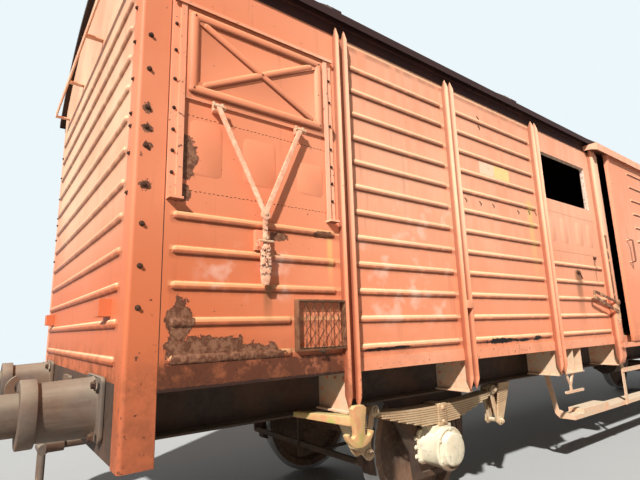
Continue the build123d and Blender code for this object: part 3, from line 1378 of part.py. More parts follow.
with BuildPart() as steps:
    low = above_rail(TREAD_BOTTOM)
    sill_low = above_rail(SILL_BOTTOM)
    with BuildSketch(Plane.YZ.offset(-TREAD_HALF_LENGTH)):
        Polygon((
            (-TREAD_FRONT, low),
            (-TREAD_FRONT, low + TREAD_HEIGHT),
            (-TREAD_BACK, low + TREAD_HEIGHT),
            (-TREAD_BACK, low),
            (-TREAD_BACK - TREAD_PLATE, low),
            (-TREAD_BACK - TREAD_PLATE, low + TREAD_HEIGHT - TREAD_PLATE),
            (-TREAD_FRONT + TREAD_PLATE, low + TREAD_HEIGHT - TREAD_PLATE),
            (-TREAD_FRONT + TREAD_PLATE, low),
        ))
    extrude(amount=2 * TREAD_HALF_LENGTH)
    hanger_y = (-TREAD_FRONT - HANGER_PLATE, -TREAD_FRONT)
    for x in (-HANGER_X, HANGER_X):
        hanger_x = (x - HANGER_WIDTH / 2, x + HANGER_WIDTH / 2)
        slab(hanger_x, hanger_y, (low, sill_low))
        slab(hanger_x, (-HALF_WIDTH + SILL_PLATE, -TREAD_FRONT), (sill_low - HANGER_PLATE, sill_low))
    rung_z = (above_rail(RUNG_BOTTOM), above_rail(RUNG_BOTTOM + RUNG_HEIGHT))
    rung_y = (-TREAD_FRONT - 2 * HANGER_PLATE, -TREAD_FRONT - HANGER_PLATE)
    slab((-HANGER_X - HANGER_WIDTH / 2, HANGER_X + HANGER_WIDTH / 2), rung_y, rung_z)
    for x in (-TREAD_HALF_LENGTH, TREAD_HALF_LENGTH - HANGER_PLATE):
        with BuildSketch(Plane.YZ.offset(x)):
            Polygon((
                (-TREAD_FRONT, low),
                (-TREAD_FRONT, low + TREAD_HEIGHT),
                (-TREAD_BACK, low + 2 * TREAD_HEIGHT),
                (-SOLE_FLANGE_TIP + 50, sole_low),
                (-SOLE_FLANGE_TIP + 100, sole_low),
                (-TREAD_BACK + 40, low + TREAD_HEIGHT),
                (-TREAD_BACK, low),
            ))
        extrude(amount=HANGER_PLATE)
    slab(RAISED_TREAD, (-TREAD_FRONT, -TREAD_BACK), (low + TREAD_HEIGHT, low + 2 * TREAD_HEIGHT))
    stirrup_low = above_rail(STIRRUP_BOTTOM)
    stirrup_x = (STIRRUP_X - STIRRUP_WIDTH / 2, STIRRUP_X + STIRRUP_WIDTH / 2)
    for x in (stirrup_x[0], stirrup_x[1] - HANGER_PLATE):
        slab((x, x + HANGER_PLATE), (-HALF_WIDTH, -HALF_WIDTH + 50), (stirrup_low, sill_low))
    for z in (stirrup_low, stirrup_low + STIRRUP_PITCH):
        slab(stirrup_x, (-HALF_WIDTH, -HALF_WIDTH + STIRRUP_DEPTH), (z, z + HANGER_PLATE))
    add(steps.part.rotate(Axis.Z, 180))
finish(steps, "steps")

# End fittings: a bar across the top of each end on two arms, and lamp brackets at the corners
END_BAR_Z = 3360
END_BAR_HALF = 1080
END_BAR_REACH = 112
END_ARM_Y = 350
LAMP_BRACKET_Z = 1480
LAMP_BRACKET_Y = 1000

with BuildPart() as end_fittings:
    end_x = -HALF_LENGTH
    bar_z = (above_rail(END_BAR_Z), above_rail(END_BAR_Z + 50))
    slab((end_x - END_BAR_REACH, end_x - END_BAR_REACH + 10), (-END_BAR_HALF, END_BAR_HALF), bar_z)
    for y in (-END_ARM_Y, END_ARM_Y, -END_BAR_HALF + 20, END_BAR_HALF - 20):
        slab((end_x - END_BAR_REACH + 10, end_x), (y - 20, y + 20), (bar_z[0], bar_z[0] + 10))
    for y in (-LAMP_BRACKET_Y, LAMP_BRACKET_Y):
        lamp_z = above_rail(LAMP_BRACKET_Z)
        slab((end_x - 12, end_x), (y - 60, y + 60), (lamp_z, lamp_z + 84))
        slab((end_x - 46, end_x - 12), (y - 60, y - 50), (lamp_z, lamp_z + 84))
        slab((end_x - 46, end_x - 12), (y + 50, y + 60), (lamp_z, lamp_z + 84))
        slab((end_x - 56, end_x - 46), (y - 60, y + 60), (lamp_z, lamp_z + 84))
    add(end_fittings.part.rotate(Axis.Z, 180))
finish(end_fittings, "end_fittings")

# Brake shoes: cast blocks each side of every wheel, hung from the cross bearers
SHOE_GAP = 8
SHOE_THICKNESS = 52
SHOE_HALF_ANGLE = 19
SHOE_WIDTH = 84
SHOE_OFFSET = 21.5
HANGER_THICKNESS = 24
HANGER_RADIUS = 24
BEAM_GAP = 34
BEAM_RADIUS = 24
BEAM_DROP = 60
SHOE_Y = BACK_TO_BACK / 2 + RIM_WIDTH / 2 + SHOE_OFFSET
SHOE_HANGER_X = 640
shoe_inner = TREAD_RADIUS + SHOE_GAP
shoe_outer = shoe_inner + SHOE_THICKNESS
BEAM_X = shoe_outer + BEAM_GAP


def shoe_outline(x, side):
    """The curved block of one brake shoe, in the plane of its wheel."""
    half = radians(SHOE_HALF_ANGLE)

    def at(radius, turn):
        return (x + side * radius * cos(turn), AXLE_Z + radius * sin(turn))

    with BuildLine() as outline:
        ThreePointArc(at(shoe_inner, -half), at(shoe_inner, 0), at(shoe_inner, half))
        Line(at(shoe_inner, half), at(shoe_outer, half * 0.8))
        ThreePointArc(at(shoe_outer, half * 0.8), at(shoe_outer, 0), at(shoe_outer, -half * 0.8))
        Line(at(shoe_outer, -half * 0.8), at(shoe_inner, -half))
    make_face(outline.line)


with BuildPart() as brake_shoes:
    for x in (-WHEEL_X, WHEEL_X):
        for side in (-1, 1):
            with BuildSketch(side_plane(-SHOE_Y + SHOE_WIDTH / 2)):
                shoe_outline(x, side)
            extrude(amount=SHOE_WIDTH)
            hanger_y = (-SHOE_Y - HANGER_THICKNESS / 2, -SHOE_Y + HANGER_THICKNESS / 2)
            hanger_foot = x + side * BEAM_X
            hanger_head = x + side * SHOE_HANGER_X
            with BuildSketch(side_plane(hanger_y[1])):
                capsule(
                    (hanger_foot, AXLE_Z - BEAM_DROP),
                    (hanger_head, grid_low - HANGER_RADIUS),
                    HANGER_RADIUS,
                )
            extrude(amount=HANGER_THICKNESS)
            slab(
                (hanger_head - HANGER_RADIUS, hanger_head + HANGER_RADIUS),
                hanger_y,
                (grid_low - HANGER_RADIUS, grid_low),
            )
            slab((x + side * (shoe_outer - 10), hanger_foot), hanger_y, (AXLE_Z - 30, AXLE_Z + 30))
    mirror(about=Plane.XZ)
finish(brake_shoes, "brake_shoes")

# Brake beams: a bar between the two shoes of each side of an axle, with a strut in its middle
with BuildPart() as brake_beams:
    for x in (-WHEEL_X, WHEEL_X):
        for side in (-1, 1):
            beam_x = x + side * BEAM_X
            beam_half = SHOE_Y - HANGER_THICKNESS / 2
            with BuildSketch(side_plane(beam_half)):
                with Locations((beam_x, AXLE_Z - BEAM_DROP)):
                    Circle(BEAM_RADIUS)
            extrude(amount=2 * beam_half)
finish(brake_beams, "brake_beams")

# Brake vessels: the brake cylinder and the air reservoir, slung under the cross bearers
CYLINDER_RADIUS = 170
CYLINDER_LENGTH = 420
CYLINDER_START = 710
CYLINDER_Y = -380
RESERVOIR_RADIUS = 190
RESERVOIR_LENGTH = 1210
RESERVOIR_START = -2290
RESERVOIR_Y = 420
VESSEL_DROP = 230
PUSH_ROD_LENGTH = 90
PUSH_ROD_RADIUS = 40
SADDLE_WIDTH = 180
SADDLE_LENGTH = 40
vessel_z = grid_low - VESSEL_DROP

with BuildPart() as brake_vessels:
    for start, length, y, radius in (
        (CYLINDER_START, CYLINDER_LENGTH, CYLINDER_Y, CYLINDER_RADIUS),
        (CYLINDER_START - PUSH_ROD_LENGTH, PUSH_ROD_LENGTH, CYLINDER_Y, PUSH_ROD_RADIUS),
        (RESERVOIR_START, RESERVOIR_LENGTH, RESERVOIR_Y, RESERVOIR_RADIUS),
    ):
        with BuildSketch(Plane.YZ.offset(start)):
            with Locations((y, vessel_z)):
                Circle(radius)
        extrude(amount=length)
    for x, y in ((CROSS_BEARERS[6], CYLINDER_Y), (CROSS_BEARERS[3], RESERVOIR_Y), (CROSS_BEARERS[4], RESERVOIR_Y)):
        slab(
            (x - SADDLE_LENGTH / 2, x + SADDLE_LENGTH / 2),
            (y - SADDLE_WIDTH / 2, y + SADDLE_WIDTH / 2),
            (vessel_z + 100, grid_low),
        )
finish(brake_vessels, "brake_vessels")

# Brake changeover levers: a forked arm under the triple consoles with a handle across its foot
CHANGEOVER_X = -2395
CHANGEOVER_Y = -1290
CHANGEOVER_LOW = 745
CHANGEOVER_SPREAD = 58
CHANGEOVER_HANDLE = 340
CHANGEOVER_PLATE = 14

with BuildPart() as changeover_levers:
    fork_top = above_rail(CONSOLE_BOTTOM - CONSOLE_PLATE) - 12
    fork_z = above_rail(CHANGEOVER_LOW + 60)
    handle_z = above_rail(CHANGEOVER_LOW)
    with BuildSketch(side_plane(CHANGEOVER_Y)):
        for side in (-1, 1):
            capsule((CHANGEOVER_X + side * CHANGEOVER_SPREAD, fork_top), (CHANGEOVER_X, fork_z), 12)
            with Locations((CHANGEOVER_X + side * CHANGEOVER_SPREAD, fork_top + 6)):
                Rectangle(24, 12)
        capsule((CHANGEOVER_X, fork_z), (CHANGEOVER_X, handle_z), 14)
        capsule(
            (CHANGEOVER_X - 0.3 * CHANGEOVER_HANDLE, handle_z),
            (CHANGEOVER_X + 0.7 * CHANGEOVER_HANDLE, handle_z),
            12,
        )
    extrude(amount=CHANGEOVER_PLATE)
    add(changeover_levers.part.rotate(Axis.Z, 180))
finish(changeover_levers, "changeover_levers")

# Brake rods: a floating lever on each beam, pull rods under the axles and to the lever at the cylinder
ROD_RADIUS = 14
LEVER_PLATE = 18
LEVER_WIDTH = 52
TIE_ROD_Z = 378
BEAM_HOLE_GAP = 0.5
CYLINDER_LEVER_REACH = 60
lever_x = CYLINDER_START - PUSH_ROD_LENGTH - 25

with BuildPart() as brake_rods:
    for x in (-WHEEL_X, WHEEL_X):
        for side in (-1, 1):
            beam_x = x + side * BEAM_X
            with BuildSketch(side_plane(LEVER_PLATE / 2)):
                capsule((beam_x, TIE_ROD_Z), (beam_x, vessel_z), LEVER_WIDTH / 2)
                with Locations((beam_x, AXLE_Z - BEAM_DROP)):
                    Circle(BEAM_RADIUS + 16)
                    Circle(BEAM_RADIUS + BEAM_HOLE_GAP, mode=Mode.SUBTRACT)
            extrude(amount=LEVER_PLATE)
        with BuildSketch(Plane.YZ.offset(x - BEAM_X)):
            with Locations((0, TIE_ROD_Z)):
                Circle(ROD_RADIUS)
        extrude(amount=2 * BEAM_X)
    for start, end in ((-WHEEL_X + BEAM_X, lever_x), (lever_x, WHEEL_X - BEAM_X)):
        with BuildSketch(Plane.YZ.offset(start)):
            with Locations((0, vessel_z)):
                Circle(ROD_RADIUS)
        extrude(amount=end - start)
    with BuildSketch(Plane.XY.offset(vessel_z - LEVER_PLATE / 2)):
        with Locations((lever_x, (CYLINDER_Y + CYLINDER_LEVER_REACH) / 2)):
            RectangleRounded(50, CYLINDER_LEVER_REACH - CYLINDER_Y + 60, 20)
    extrude(amount=LEVER_PLATE)
finish(brake_rods, "brake_rods")

# Brake pipe: the through pipe under the cross bearers, crossing over in the middle, with end cocks
PIPE_RADIUS = 21
PIPE_Y = 620
PIPE_Z = 985
PIPE_END_Y = 330
PIPE_END_Z = 820
PIPE_END_X = HALF_LENGTH + 50
PIPE_BEND = 110
PIPE_CROSSING = 300
PIPE_CLIPS = (1120, 3360, 5700)
COCK_RADIUS = 34
COCK_LENGTH = 90

with BuildPart() as brake_pipe:
    with BuildLine() as pipe_route:
        FilletPolyline(
            (-PIPE_END_X, -PIPE_END_Y, PIPE_END_Z),
            (-PIPE_END_X + 270, -PIPE_END_Y, PIPE_END_Z),
            (-PIPE_END_X + 520, -PIPE_Y, PIPE_Z),
            (-PIPE_CROSSING, -PIPE_Y, PIPE_Z),
            (PIPE_CROSSING, PIPE_Y, PIPE_Z),
            (PIPE_END_X - 520, PIPE_Y, PIPE_Z),
            (PIPE_END_X - 270, PIPE_END_Y, PIPE_END_Z),
            (PIPE_END_X, PIPE_END_Y, PIPE_END_Z),
            radius=PIPE_BEND,
        )
    with BuildSketch(Plane(origin=pipe_route.line @ 0, z_dir=pipe_route.line % 0)):
        Circle(PIPE_RADIUS)
    sweep(path=pipe_route.line)
    for x in PIPE_CLIPS:
        for side in (-1, 1):
            slab(
                (side * x - 15, side * x + 15),
                (side * PIPE_Y - 10, side * PIPE_Y + 10),
                (PIPE_Z, grid_low),
            )
    for side in (-1, 1):
        end_plane = Plane(
            origin=(side * PIPE_END_X, side * PIPE_END_Y, PIPE_END_Z),
            z_dir=(side, 0, 0),
        )
        with BuildSketch(end_plane):
            Circle(COCK_RADIUS)
        extrude(amount=COCK_LENGTH)
        cock_x = side * (PIPE_END_X + COCK_LENGTH / 2)
        slab(
            (cock_x - 8, cock_x + 8),
            (side * PIPE_END_Y - 12, side * PIPE_END_Y + 12),
            (PIPE_END_Z, PIPE_END_Z + 120),
        )
finish(brake_pipe, "brake_pipe")
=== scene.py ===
# %% [markdown]
# # Dressing a two-axle covered goods wagon
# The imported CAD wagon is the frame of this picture. This lesson gives every part of it a weathered finish and
# adds what a fitter would miss in the plain solids: rolled bead crowns, bolts, press marks, wire, leaves and rods.
# Lengths are metres. X runs along the wagon, Y across it, Z up, and z = 0 is the lowest point of the flanges.
# The wagon looks the same after half a turn about its middle, so most pieces are made for the near side (-Y)
# and then copied round.

from math import cos, pi, radians, sin

import bmesh
import bpy
from mathutils import Matrix, Vector


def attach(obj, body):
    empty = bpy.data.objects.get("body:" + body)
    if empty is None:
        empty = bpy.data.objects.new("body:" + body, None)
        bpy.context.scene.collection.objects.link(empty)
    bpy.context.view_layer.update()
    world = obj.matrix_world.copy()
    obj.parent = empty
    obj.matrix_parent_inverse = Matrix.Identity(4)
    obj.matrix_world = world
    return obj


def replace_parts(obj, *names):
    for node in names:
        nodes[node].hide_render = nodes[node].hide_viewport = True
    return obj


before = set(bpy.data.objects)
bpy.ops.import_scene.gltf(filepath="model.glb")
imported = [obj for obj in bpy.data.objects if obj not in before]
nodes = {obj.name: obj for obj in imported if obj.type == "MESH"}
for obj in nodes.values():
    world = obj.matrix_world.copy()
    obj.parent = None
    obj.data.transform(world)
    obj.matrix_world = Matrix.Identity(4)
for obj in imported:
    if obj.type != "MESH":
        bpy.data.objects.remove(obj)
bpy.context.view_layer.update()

# %% [markdown]
# ## The camera
# The photograph was taken close to the left end with a wide lens, looking up along the side. A camera was fitted
# to known points of the wagon. Its place, its turn, tilt and roll in degrees and its focal length stand here.

# %% Camera
scene = bpy.context.scene


def placed(name, data):
    """An object of the scene, at the origin."""
    made = bpy.data.objects.new(name, data)
    scene.collection.objects.link(made)
    return made


CAMERA_PLACE = Vector((-6.896, -3.406, 1.429))
CAMERA_TURN, CAMERA_TILT, CAMERA_ROLL = radians(37.178), radians(11.062), radians(-1.639)
CAMERA_LENS = 25.21

heading = Vector((sin(CAMERA_TURN), cos(CAMERA_TURN), 0))
forward = heading * cos(CAMERA_TILT) + Vector((0, 0, sin(CAMERA_TILT)))
level = Vector((heading.y, -heading.x, 0))
upright = level.cross(forward)
across = cos(CAMERA_ROLL) * level + sin(CAMERA_ROLL) * upright
upward = -sin(CAMERA_ROLL) * level + cos(CAMERA_ROLL) * upright

camera = placed("camera", bpy.data.cameras.new("camera"))
camera.data.sensor_width = 36
camera.data.lens = CAMERA_LENS
camera.data.clip_end = 500
turned = Matrix((across, upward, -forward)).transposed().to_4x4()
camera.matrix_world = Matrix.Translation(CAMERA_PLACE) @ turned
scene.camera = camera
print("camera at", tuple(CAMERA_PLACE), "lens", CAMERA_LENS)

# %% [markdown]
# ## Light
# The sun stands behind the camera's left shoulder and models the beads in the photograph. Here one key lamp, a
# little wider than the sun, a weak fill from the other side and a dim room all round do the same.

# %% Lamps and room
KEY_DIRECTION = Vector((0.66, 0.48, -0.58))
FILL_DIRECTION = Vector((-0.55, -0.7, -0.45))


def lamp(name, direction, strength, softness):
    """A sun lamp that shines along a direction; softness is its width in the sky, in degrees."""
    light = bpy.data.lights.new(name, "SUN")
    light.energy = strength
    light.angle = radians(softness)
    placed(name, light).rotation_euler = direction.to_track_quat("-Z", "Y").to_euler()
    print("lamp", name, strength)


lamp("key_lamp", KEY_DIRECTION, 5.9, 1.6)
lamp("fill_lamp", FILL_DIRECTION, 0.4, 30)

scene.view_settings.view_transform = "Standard"
ROOM_LIGHT = (0.9, 0.95, 1.0)
ROOM_STRENGTH = 0.16
BACKDROP = (0.84, 0.93, 0.97)

# %% [markdown]
# ## Sizes that finishes and pieces share
# Heights are above the flanges, so the rail top stands at RAIL. The beads of the walls lie in twelve rows, and a
# bay of the near side is (left edge, right edge, first row that has a bead). A shutter is (centre, width, side),
# where side is -1 on the near side and 1 on the far side.

# %% Sizes of the walls, beads, axles and shutters
RAIL = 0.03
WALL_FACE = 1.33
END_FACE = 6.39
CORNER_X, CORNER_Y = 6.241, 1.21
POST_EDGES, POST_WIDTH = (-5.174, -4.029, -2.678), 0.08
DOOR_POST_LEFT = -1.36
BEAD_TOP_ROW, BEAD_PITCH, BEAD_ROWS = 3.132 + RAIL, 0.169, 12
BEAD_HALF, BEAD_PROUD, BEAD_END_GAP = 0.0225, 0.0155, 0.042
BAYS = (
    (-CORNER_X, POST_EDGES[0], 7),
    (POST_EDGES[0] + POST_WIDTH, POST_EDGES[1], 0),
    (POST_EDGES[1] + POST_WIDTH, POST_EDGES[2], 0),
    (POST_EDGES[2] + POST_WIDTH, DOOR_POST_LEFT, 7),
)
LABEL_BOX = (-5.514, POST_EDGES[0], 1.308, 1.586)
AXLE_X, AXLE_Z = 4.0, 0.52
LEAF_TOP, LEAF_RADIUS, LEAF_THICKNESS, LEAF_PACK = 0.822, 7.2229, 0.016, 0.128
SHUTTERS = {
    f"shutter_{side}_{number}": (centre, width, face)
    for side, face in (("near", -1), ("far", 1))
    for number, centre, width in ((1, -5.72, 0.92), (2, -2.01, 1.06), (3, 2.01, 1.06), (4, 5.72, 0.92))
    if f"shutter_{side}_{number}" in nodes
}
print("bays:", len(BAYS), "rows of beads:", BEAD_ROWS, "shutters:", len(SHUTTERS))

# %% [markdown]
# ## A short hand for shader nodes
# A material here is a small tree of nodes. What a node works out is a Value, which can be added, multiplied and so
# on like a number. The other helpers cover the few steps that every weathered finish repeats: noise, a soft
# threshold and a mix of two colours. They all add to the tree that was begun last.

# %% Node helpers
trees = []


class Value:
    """A number that nodes work out; plus, minus, times, over and abs() add the node that does it."""

    def __init__(self, socket):
        self.socket = socket

    def __add__(self, other):
        return maths("ADD", self, other)

    def __sub__(self, other):
        return maths("SUBTRACT", self, other)

    def __rsub__(self, other):
        return maths("SUBTRACT", other, self)

    def __mul__(self, other):
        return maths("MULTIPLY", self, other)

    def __truediv__(self, other):
        return maths("DIVIDE", self, other)

    def __abs__(self):
        return maths("ABSOLUTE", self)


def add(kind, inputs=None, **settings):
    """Adds a node; each input is a number, a colour, or the Value or output socket that feeds it."""
    made = trees[-1].nodes.new(kind)
    for key, value in settings.items():
        setattr(made, key, value)
    for key, value in (inputs or {}).items():
        value = value.socket if isinstance(value, Value) else value
        if isinstance(value, bpy.types.NodeSocket):
            trees[-1].links.new(value, made.inputs[key])
        else:
            made.inputs[key].default_value = (*value, 1) if made.inputs[key].type == "RGBA" else value
    return made


def maths(operation, first, second=0.0):
    return Value(add("ShaderNodeMath", {0: first, 1: second}, operation=operation).outputs[0])


def bigger(first, second):
    return maths("MAXIMUM", first, second)


def length(first, second):
    """The length of a slanting line from its two square parts."""
    return maths("SQRT", first * first + second * second)


def spread(value, low, high):
    """A soft threshold: 0 below low and 1 above high; with low above high it runs the other way."""
    ends = {"Value": value, "From Min": low, "From Max": high}
    return Value(add("ShaderNodeMapRange", ends, interpolation_type="SMOOTHSTEP").outputs[0])


def between(value, low, high, soft):
    """1 where the value lies between low and high, with soft ends."""
    return spread(value, low - soft, low + soft) * spread(value, high + soft, high - soft)


def noise(place, scale, detail=4.0, rough=0.55):
    settings = {"Vector": place, "Scale": scale, "Detail": detail, "Roughness": rough}
    return Value(add("ShaderNodeTexNoise", settings).outputs["Fac"])


def stretched(place, factors):
    """The same coordinates pulled by three factors, for grain and streaks."""
    return add("ShaderNodeMapping", {"Vector": place, "Scale": factors}).outputs[0]


def mixed(amount, first, second):
    """The first colour where the amount is 0 and the second where it is 1."""
    return add("ShaderNodeMix", {0: amount, 6: first, 7: second}, data_type="RGBA").outputs[2]


def looked_at():
    """1 for what the camera, a reflection or a glass looks at."""
    rays = add("ShaderNodeLightPath").outputs
    return bigger(rays["Is Camera Ray"], bigger(rays["Is Glossy Ray"], rays["Is Transmission Ray"]))


def begin_tree(holder):
    """Empties the nodes of a world or material and makes them the tree that the helpers add to."""
    holder.use_nodes = True
    holder.node_tree.nodes.clear()
    trees.append(holder.node_tree)
    return holder


print("node helpers ready")

# %% [markdown]
# ## Floor and backdrop
# A grey floor holds the shadow. Far from the wagon it passes into the backdrop's own colour, as a studio's curved
# paper does, so no horizon cuts through the picture. The room's light is a cool white; only what the camera, a
# reflection or a glass looks at has the backdrop's pale blue.

# %% Room and floor
FLOOR_RADIUS = 240
PAPER_END, BACKDROP_START = 9.0, 26.0

scene.world = begin_tree(bpy.data.worlds.new("room"))
lit = add("ShaderNodeBackground", {"Color": ROOM_LIGHT, "Strength": ROOM_STRENGTH})
shown = add("ShaderNodeBackground", {"Color": BACKDROP, "Strength": 1.0})
choice = add("ShaderNodeMixShader", {0: looked_at(), 1: lit.outputs[0], 2: shown.outputs[0]})
add("ShaderNodeOutputWorld", {"Surface": choice.outputs[0]})

paper = begin_tree(bpy.data.materials.new("studio_paper"))
spot = add("ShaderNodeTexCoord").outputs["Object"]
flat = stretched(spot, (1.0, 1.0, 0.0))
distance = add("ShaderNodeVectorMath", {0: flat}, operation="LENGTH").outputs["Value"]
pale = mixed(noise(spot, 0.7, 3), (0.47, 0.47, 0.45), (0.5, 0.5, 0.48))
near_paper = add("ShaderNodeBsdfPrincipled", {"Base Color": pale, "Roughness": 0.9, "Specular IOR Level": 0.1})
far_paper = add("ShaderNodeEmission", {"Color": BACKDROP, "Strength": looked_at()})
passing = spread(distance, PAPER_END, BACKDROP_START)
passing = add("ShaderNodeMixShader", {0: passing, 1: near_paper.outputs[0], 2: far_paper.outputs[0]})
add("ShaderNodeOutputMaterial", {"Surface": passing.outputs[0]})

bm = bmesh.new()
bmesh.ops.create_circle(bm, cap_ends=True, radius=FLOOR_RADIUS, segments=96)
mesh = bpy.data.meshes.new("studio_floor")
bm.to_mesh(mesh)
bm.free()
mesh.materials.append(paper)
floor = placed("studio_floor", mesh)
print("floor radius", FLOOR_RADIUS, "m")

# %% [markdown]
# ## Shared parts of a finish
# Every finish starts in the same way: the coordinates, the faces that look up or down, and a coordinate along the
# wagon that is the same on both sides after half a turn. A little rounding of the normals at every edge stands in
# for the radius that rolled and pressed steel really has.


# %% Start and end of a finish
class Finish:
    """A material with its coordinates, how much a face looks up or down, and its colour and relief so far."""

    def __init__(self, name):
        self.material = begin_tree(bpy.data.materials.new(name))
        self.place = add("ShaderNodeTexCoord").outputs["Object"]
        self.x, self.y, self.z = map(Value, add("ShaderNodeSeparateXYZ", {0: self.place}).outputs)
        self.along = self.x * maths("SIGN", self.y * -1.0)
        normal = add("ShaderNodeNewGeometry").outputs["Normal"]
        upward = add("ShaderNodeSeparateXYZ", {0: normal}).outputs[2]
        self.up, self.down = spread(upward, 0.25, 0.8), spread(upward, -0.25, -0.8)

    def cover(self, amount, coat):
        """Lays a coat over the colour, as far as the amount says."""
        self.colour = mixed(amount, self.colour, coat)


def close(at, rough, depth=0.002, edge=0.003, gloss=0.5):
    """Joins colour, roughness and relief to the shader of a finish."""
    rounded = add("ShaderNodeBevel", {"Radius": edge}, samples=4).outputs[0]
    bump = {"Height": at.relief, "Distance": depth, "Strength": 0.8, "Normal": rounded}
    inputs = {"Base Color": at.colour, "Roughness": rough, "Specular IOR Level": gloss}
    shader = add("ShaderNodeBsdfPrincipled", {**inputs, "Normal": add("ShaderNodeBump", bump).outputs[0]})
    add("ShaderNodeOutputMaterial", {"Surface": shader.outputs[0]})
    print("finish", at.material.name, len(trees[-1].nodes), "nodes")
    return at.material


# %% [markdown]
# ## The old red paint
# The body's oxide red has gone salmon where sun and rain reach it, most in the middle of the wagon, and keeps a
# deep orange near the end and along the sills. Thin vertical runs, dust with a painted highlight on every ledge,
# brown grime with painted shade under every bead, small chips with rust in them, and in places whole scabs where
# paint and sheet have peeled. The scabs are placed as soft ellipses on the wall, their edges broken up with noise.

# %% Colours of the paint
DEEP_RED = (0.6, 0.15, 0.056)
WORN_RED = (0.8, 0.275, 0.14)
CHALKY_RED = (0.95, 0.54, 0.35)
SHADED_RED = (0.22, 0.05, 0.022)
SUNLIT_CREAM = (0.97, 0.68, 0.44)
SHEEN_PAINT = (0.97, 0.78, 0.64)
CUT_EDGE = (0.9, 0.66, 0.52)
LABEL_TONES = (0.96, 0.66, 0.46), (0.95, 0.68, 0.26)
ROD_TONES = (0.9, 0.52, 0.34), (0.8, 0.36, 0.21)
DUST_AND_HIGHLIGHT, END_DUST_AND_HIGHLIGHT = (0.95, 0.64, 0.36), (0.74, 0.385, 0.155)
GRIME_AND_SHADE, GRIPPED = (0.16, 0.045, 0.02), (0.1, 0.04, 0.022)
YELLOW_RUN, BROWN_RUN = (0.7, 0.47, 0.16), (0.24, 0.105, 0.045)
RUST = (0.21, 0.066, 0.024)
DARK_RUST = (0.045, 0.018, 0.01)
BAND_RUST, BAND_PITS = (0.078, 0.022, 0.009), (0.012, 0.006, 0.004)
BARE_PRIMER, PRIMER_RUST = (0.24, 0.105, 0.055), (0.11, 0.036, 0.016)
HOLE_DARK = (0.004, 0.002, 0.002)
DARK_WOOD, OLD_WOOD, WOOD_SEAM = (0.12, 0.075, 0.045), (0.26, 0.17, 0.1), (0.02, 0.012, 0.008)

# %% [markdown]
# Each scab is (place along the wagon, height, half length, half height) on the near side, at the left end. The
# bolts of the corner post have rust of their own round them, and the holes are where the foot of the wall has
# rusted through. Stains are (place, top, bottom, half width). The label is (left, right, bottom, top).

# %% Places where the paint has peeled, rusted through or run
SCABS = (
    (-6.14, 2.29, 0.045, 0.11), (-6.15, 2.1, 0.03, 0.04),
    (-6.15, 1.47, 0.055, 0.1), (-6.05, 1.33, 0.2, 0.075),
    (-5.75, 1.3, 0.16, 0.055), (-5.62, 1.93, 0.06, 0.022),
    (-5.3, 1.97, 0.06, 0.02), (-5.2, 2.62, 0.03, 0.04),
    (-6.2, 2.1, 0.03, 0.05),
)
BOLT_RUST = (
    (-6.34, 2.49, 0.02, 0.026), (-6.335, 2.39, 0.024, 0.02),
    (-6.33, 2.3, 0.018, 0.02), (-6.335, 2.105, 0.026, 0.024),
)
HOLES = (
    (-3.53, 1.285, 0.2, 0.02), (-3.2, 1.28, 0.12, 0.012),
    (-2.97, 1.29, 0.07, 0.018), (-4.86, 1.287, 0.15, 0.01),
    (-4.7, 1.292, 0.1, 0.008),
)
YELLOW_STAINS = ((-2.83, 2.55, 1.6, 0.07), (-5.25, 1.95, 1.6, 0.03))
DARK_STAINS = ((-2.00, 1.93, 1.25, 0.1), (-1.56, 2.06, 1.7, 0.03), (-5.68, 1.66, 1.4, 0.04))
BLANK_LABEL = (-3.59, -3.13, 2.685, 2.795)


def ragged(at, places, scale, amount):
    """Distance from the nearest of several ellipses, 0 at a centre and 1 at its edge, broken up by noise."""
    nearest = None
    for along, height, half_length, half_height in places:
        reach = length((at.along - along) / half_length, (at.z - height) / half_height)
        nearest = reach if nearest is None else maths("MINIMUM", nearest, reach)
    return nearest + noise(at.place, scale, 6, 0.7) * (2 * amount) - amount


def stains(at, places, streak):
    """Runs below leaking fittings: widest and darkest at the top."""
    total = None
    for along, top, bottom, half_width in places:
        run = spread(abs(at.along - along), half_width, half_width * 0.2) * spread(at.z, bottom, top)
        run = run * spread(at.z, top + 0.015, top - 0.015)
        total = run if total is None else bigger(total, run)
    return total * spread(streak, 0.15, 0.5)


# %% [markdown]
# The paint is built up as it was in life, with painted light and shade among the layers: first the sound coat,
# faded by place and height and turned cream as painted sunlight where a finish asks for it, then runs, grime and
# painted shade, dust with a painted highlight, then chips, rust at the foot, scabs with their dark rims, and last
# the holes.


# %% Paint on walls, posts, doors and shutters
def bead_shade_and_dirt(at, streak, dust, worn_wall):
    """Painted shade with grime below each bead, and dust with a painted highlight on top of it, in the bays that
    have beads.
    """
    below = maths("FLOORED_MODULO", BEAD_TOP_ROW - at.z, BEAD_PITCH)
    beaded = spread(at.z, 3.22, 3.18)
    if worn_wall:
        beaded = bigger(between(abs(at.x), 2.62, 5.16, 0.01), spread(at.z, 2.02, 1.99))
        beaded = beaded * between(abs(at.x), 1.4, 6.21, 0.01)
    # Painted shade with grime just below each bead, and dust with a painted highlight on its top.
    under = spread(below, 0.05, 0.018) * beaded * spread(streak, 0.25, 0.55)
    at.cover(under * 0.42, GRIME_AND_SHADE)
    ledge = spread(below, BEAD_PITCH - 0.03, BEAD_PITCH - 0.016) * beaded
    at.cover(ledge * (0.4 if worn_wall else 0.1), dust)


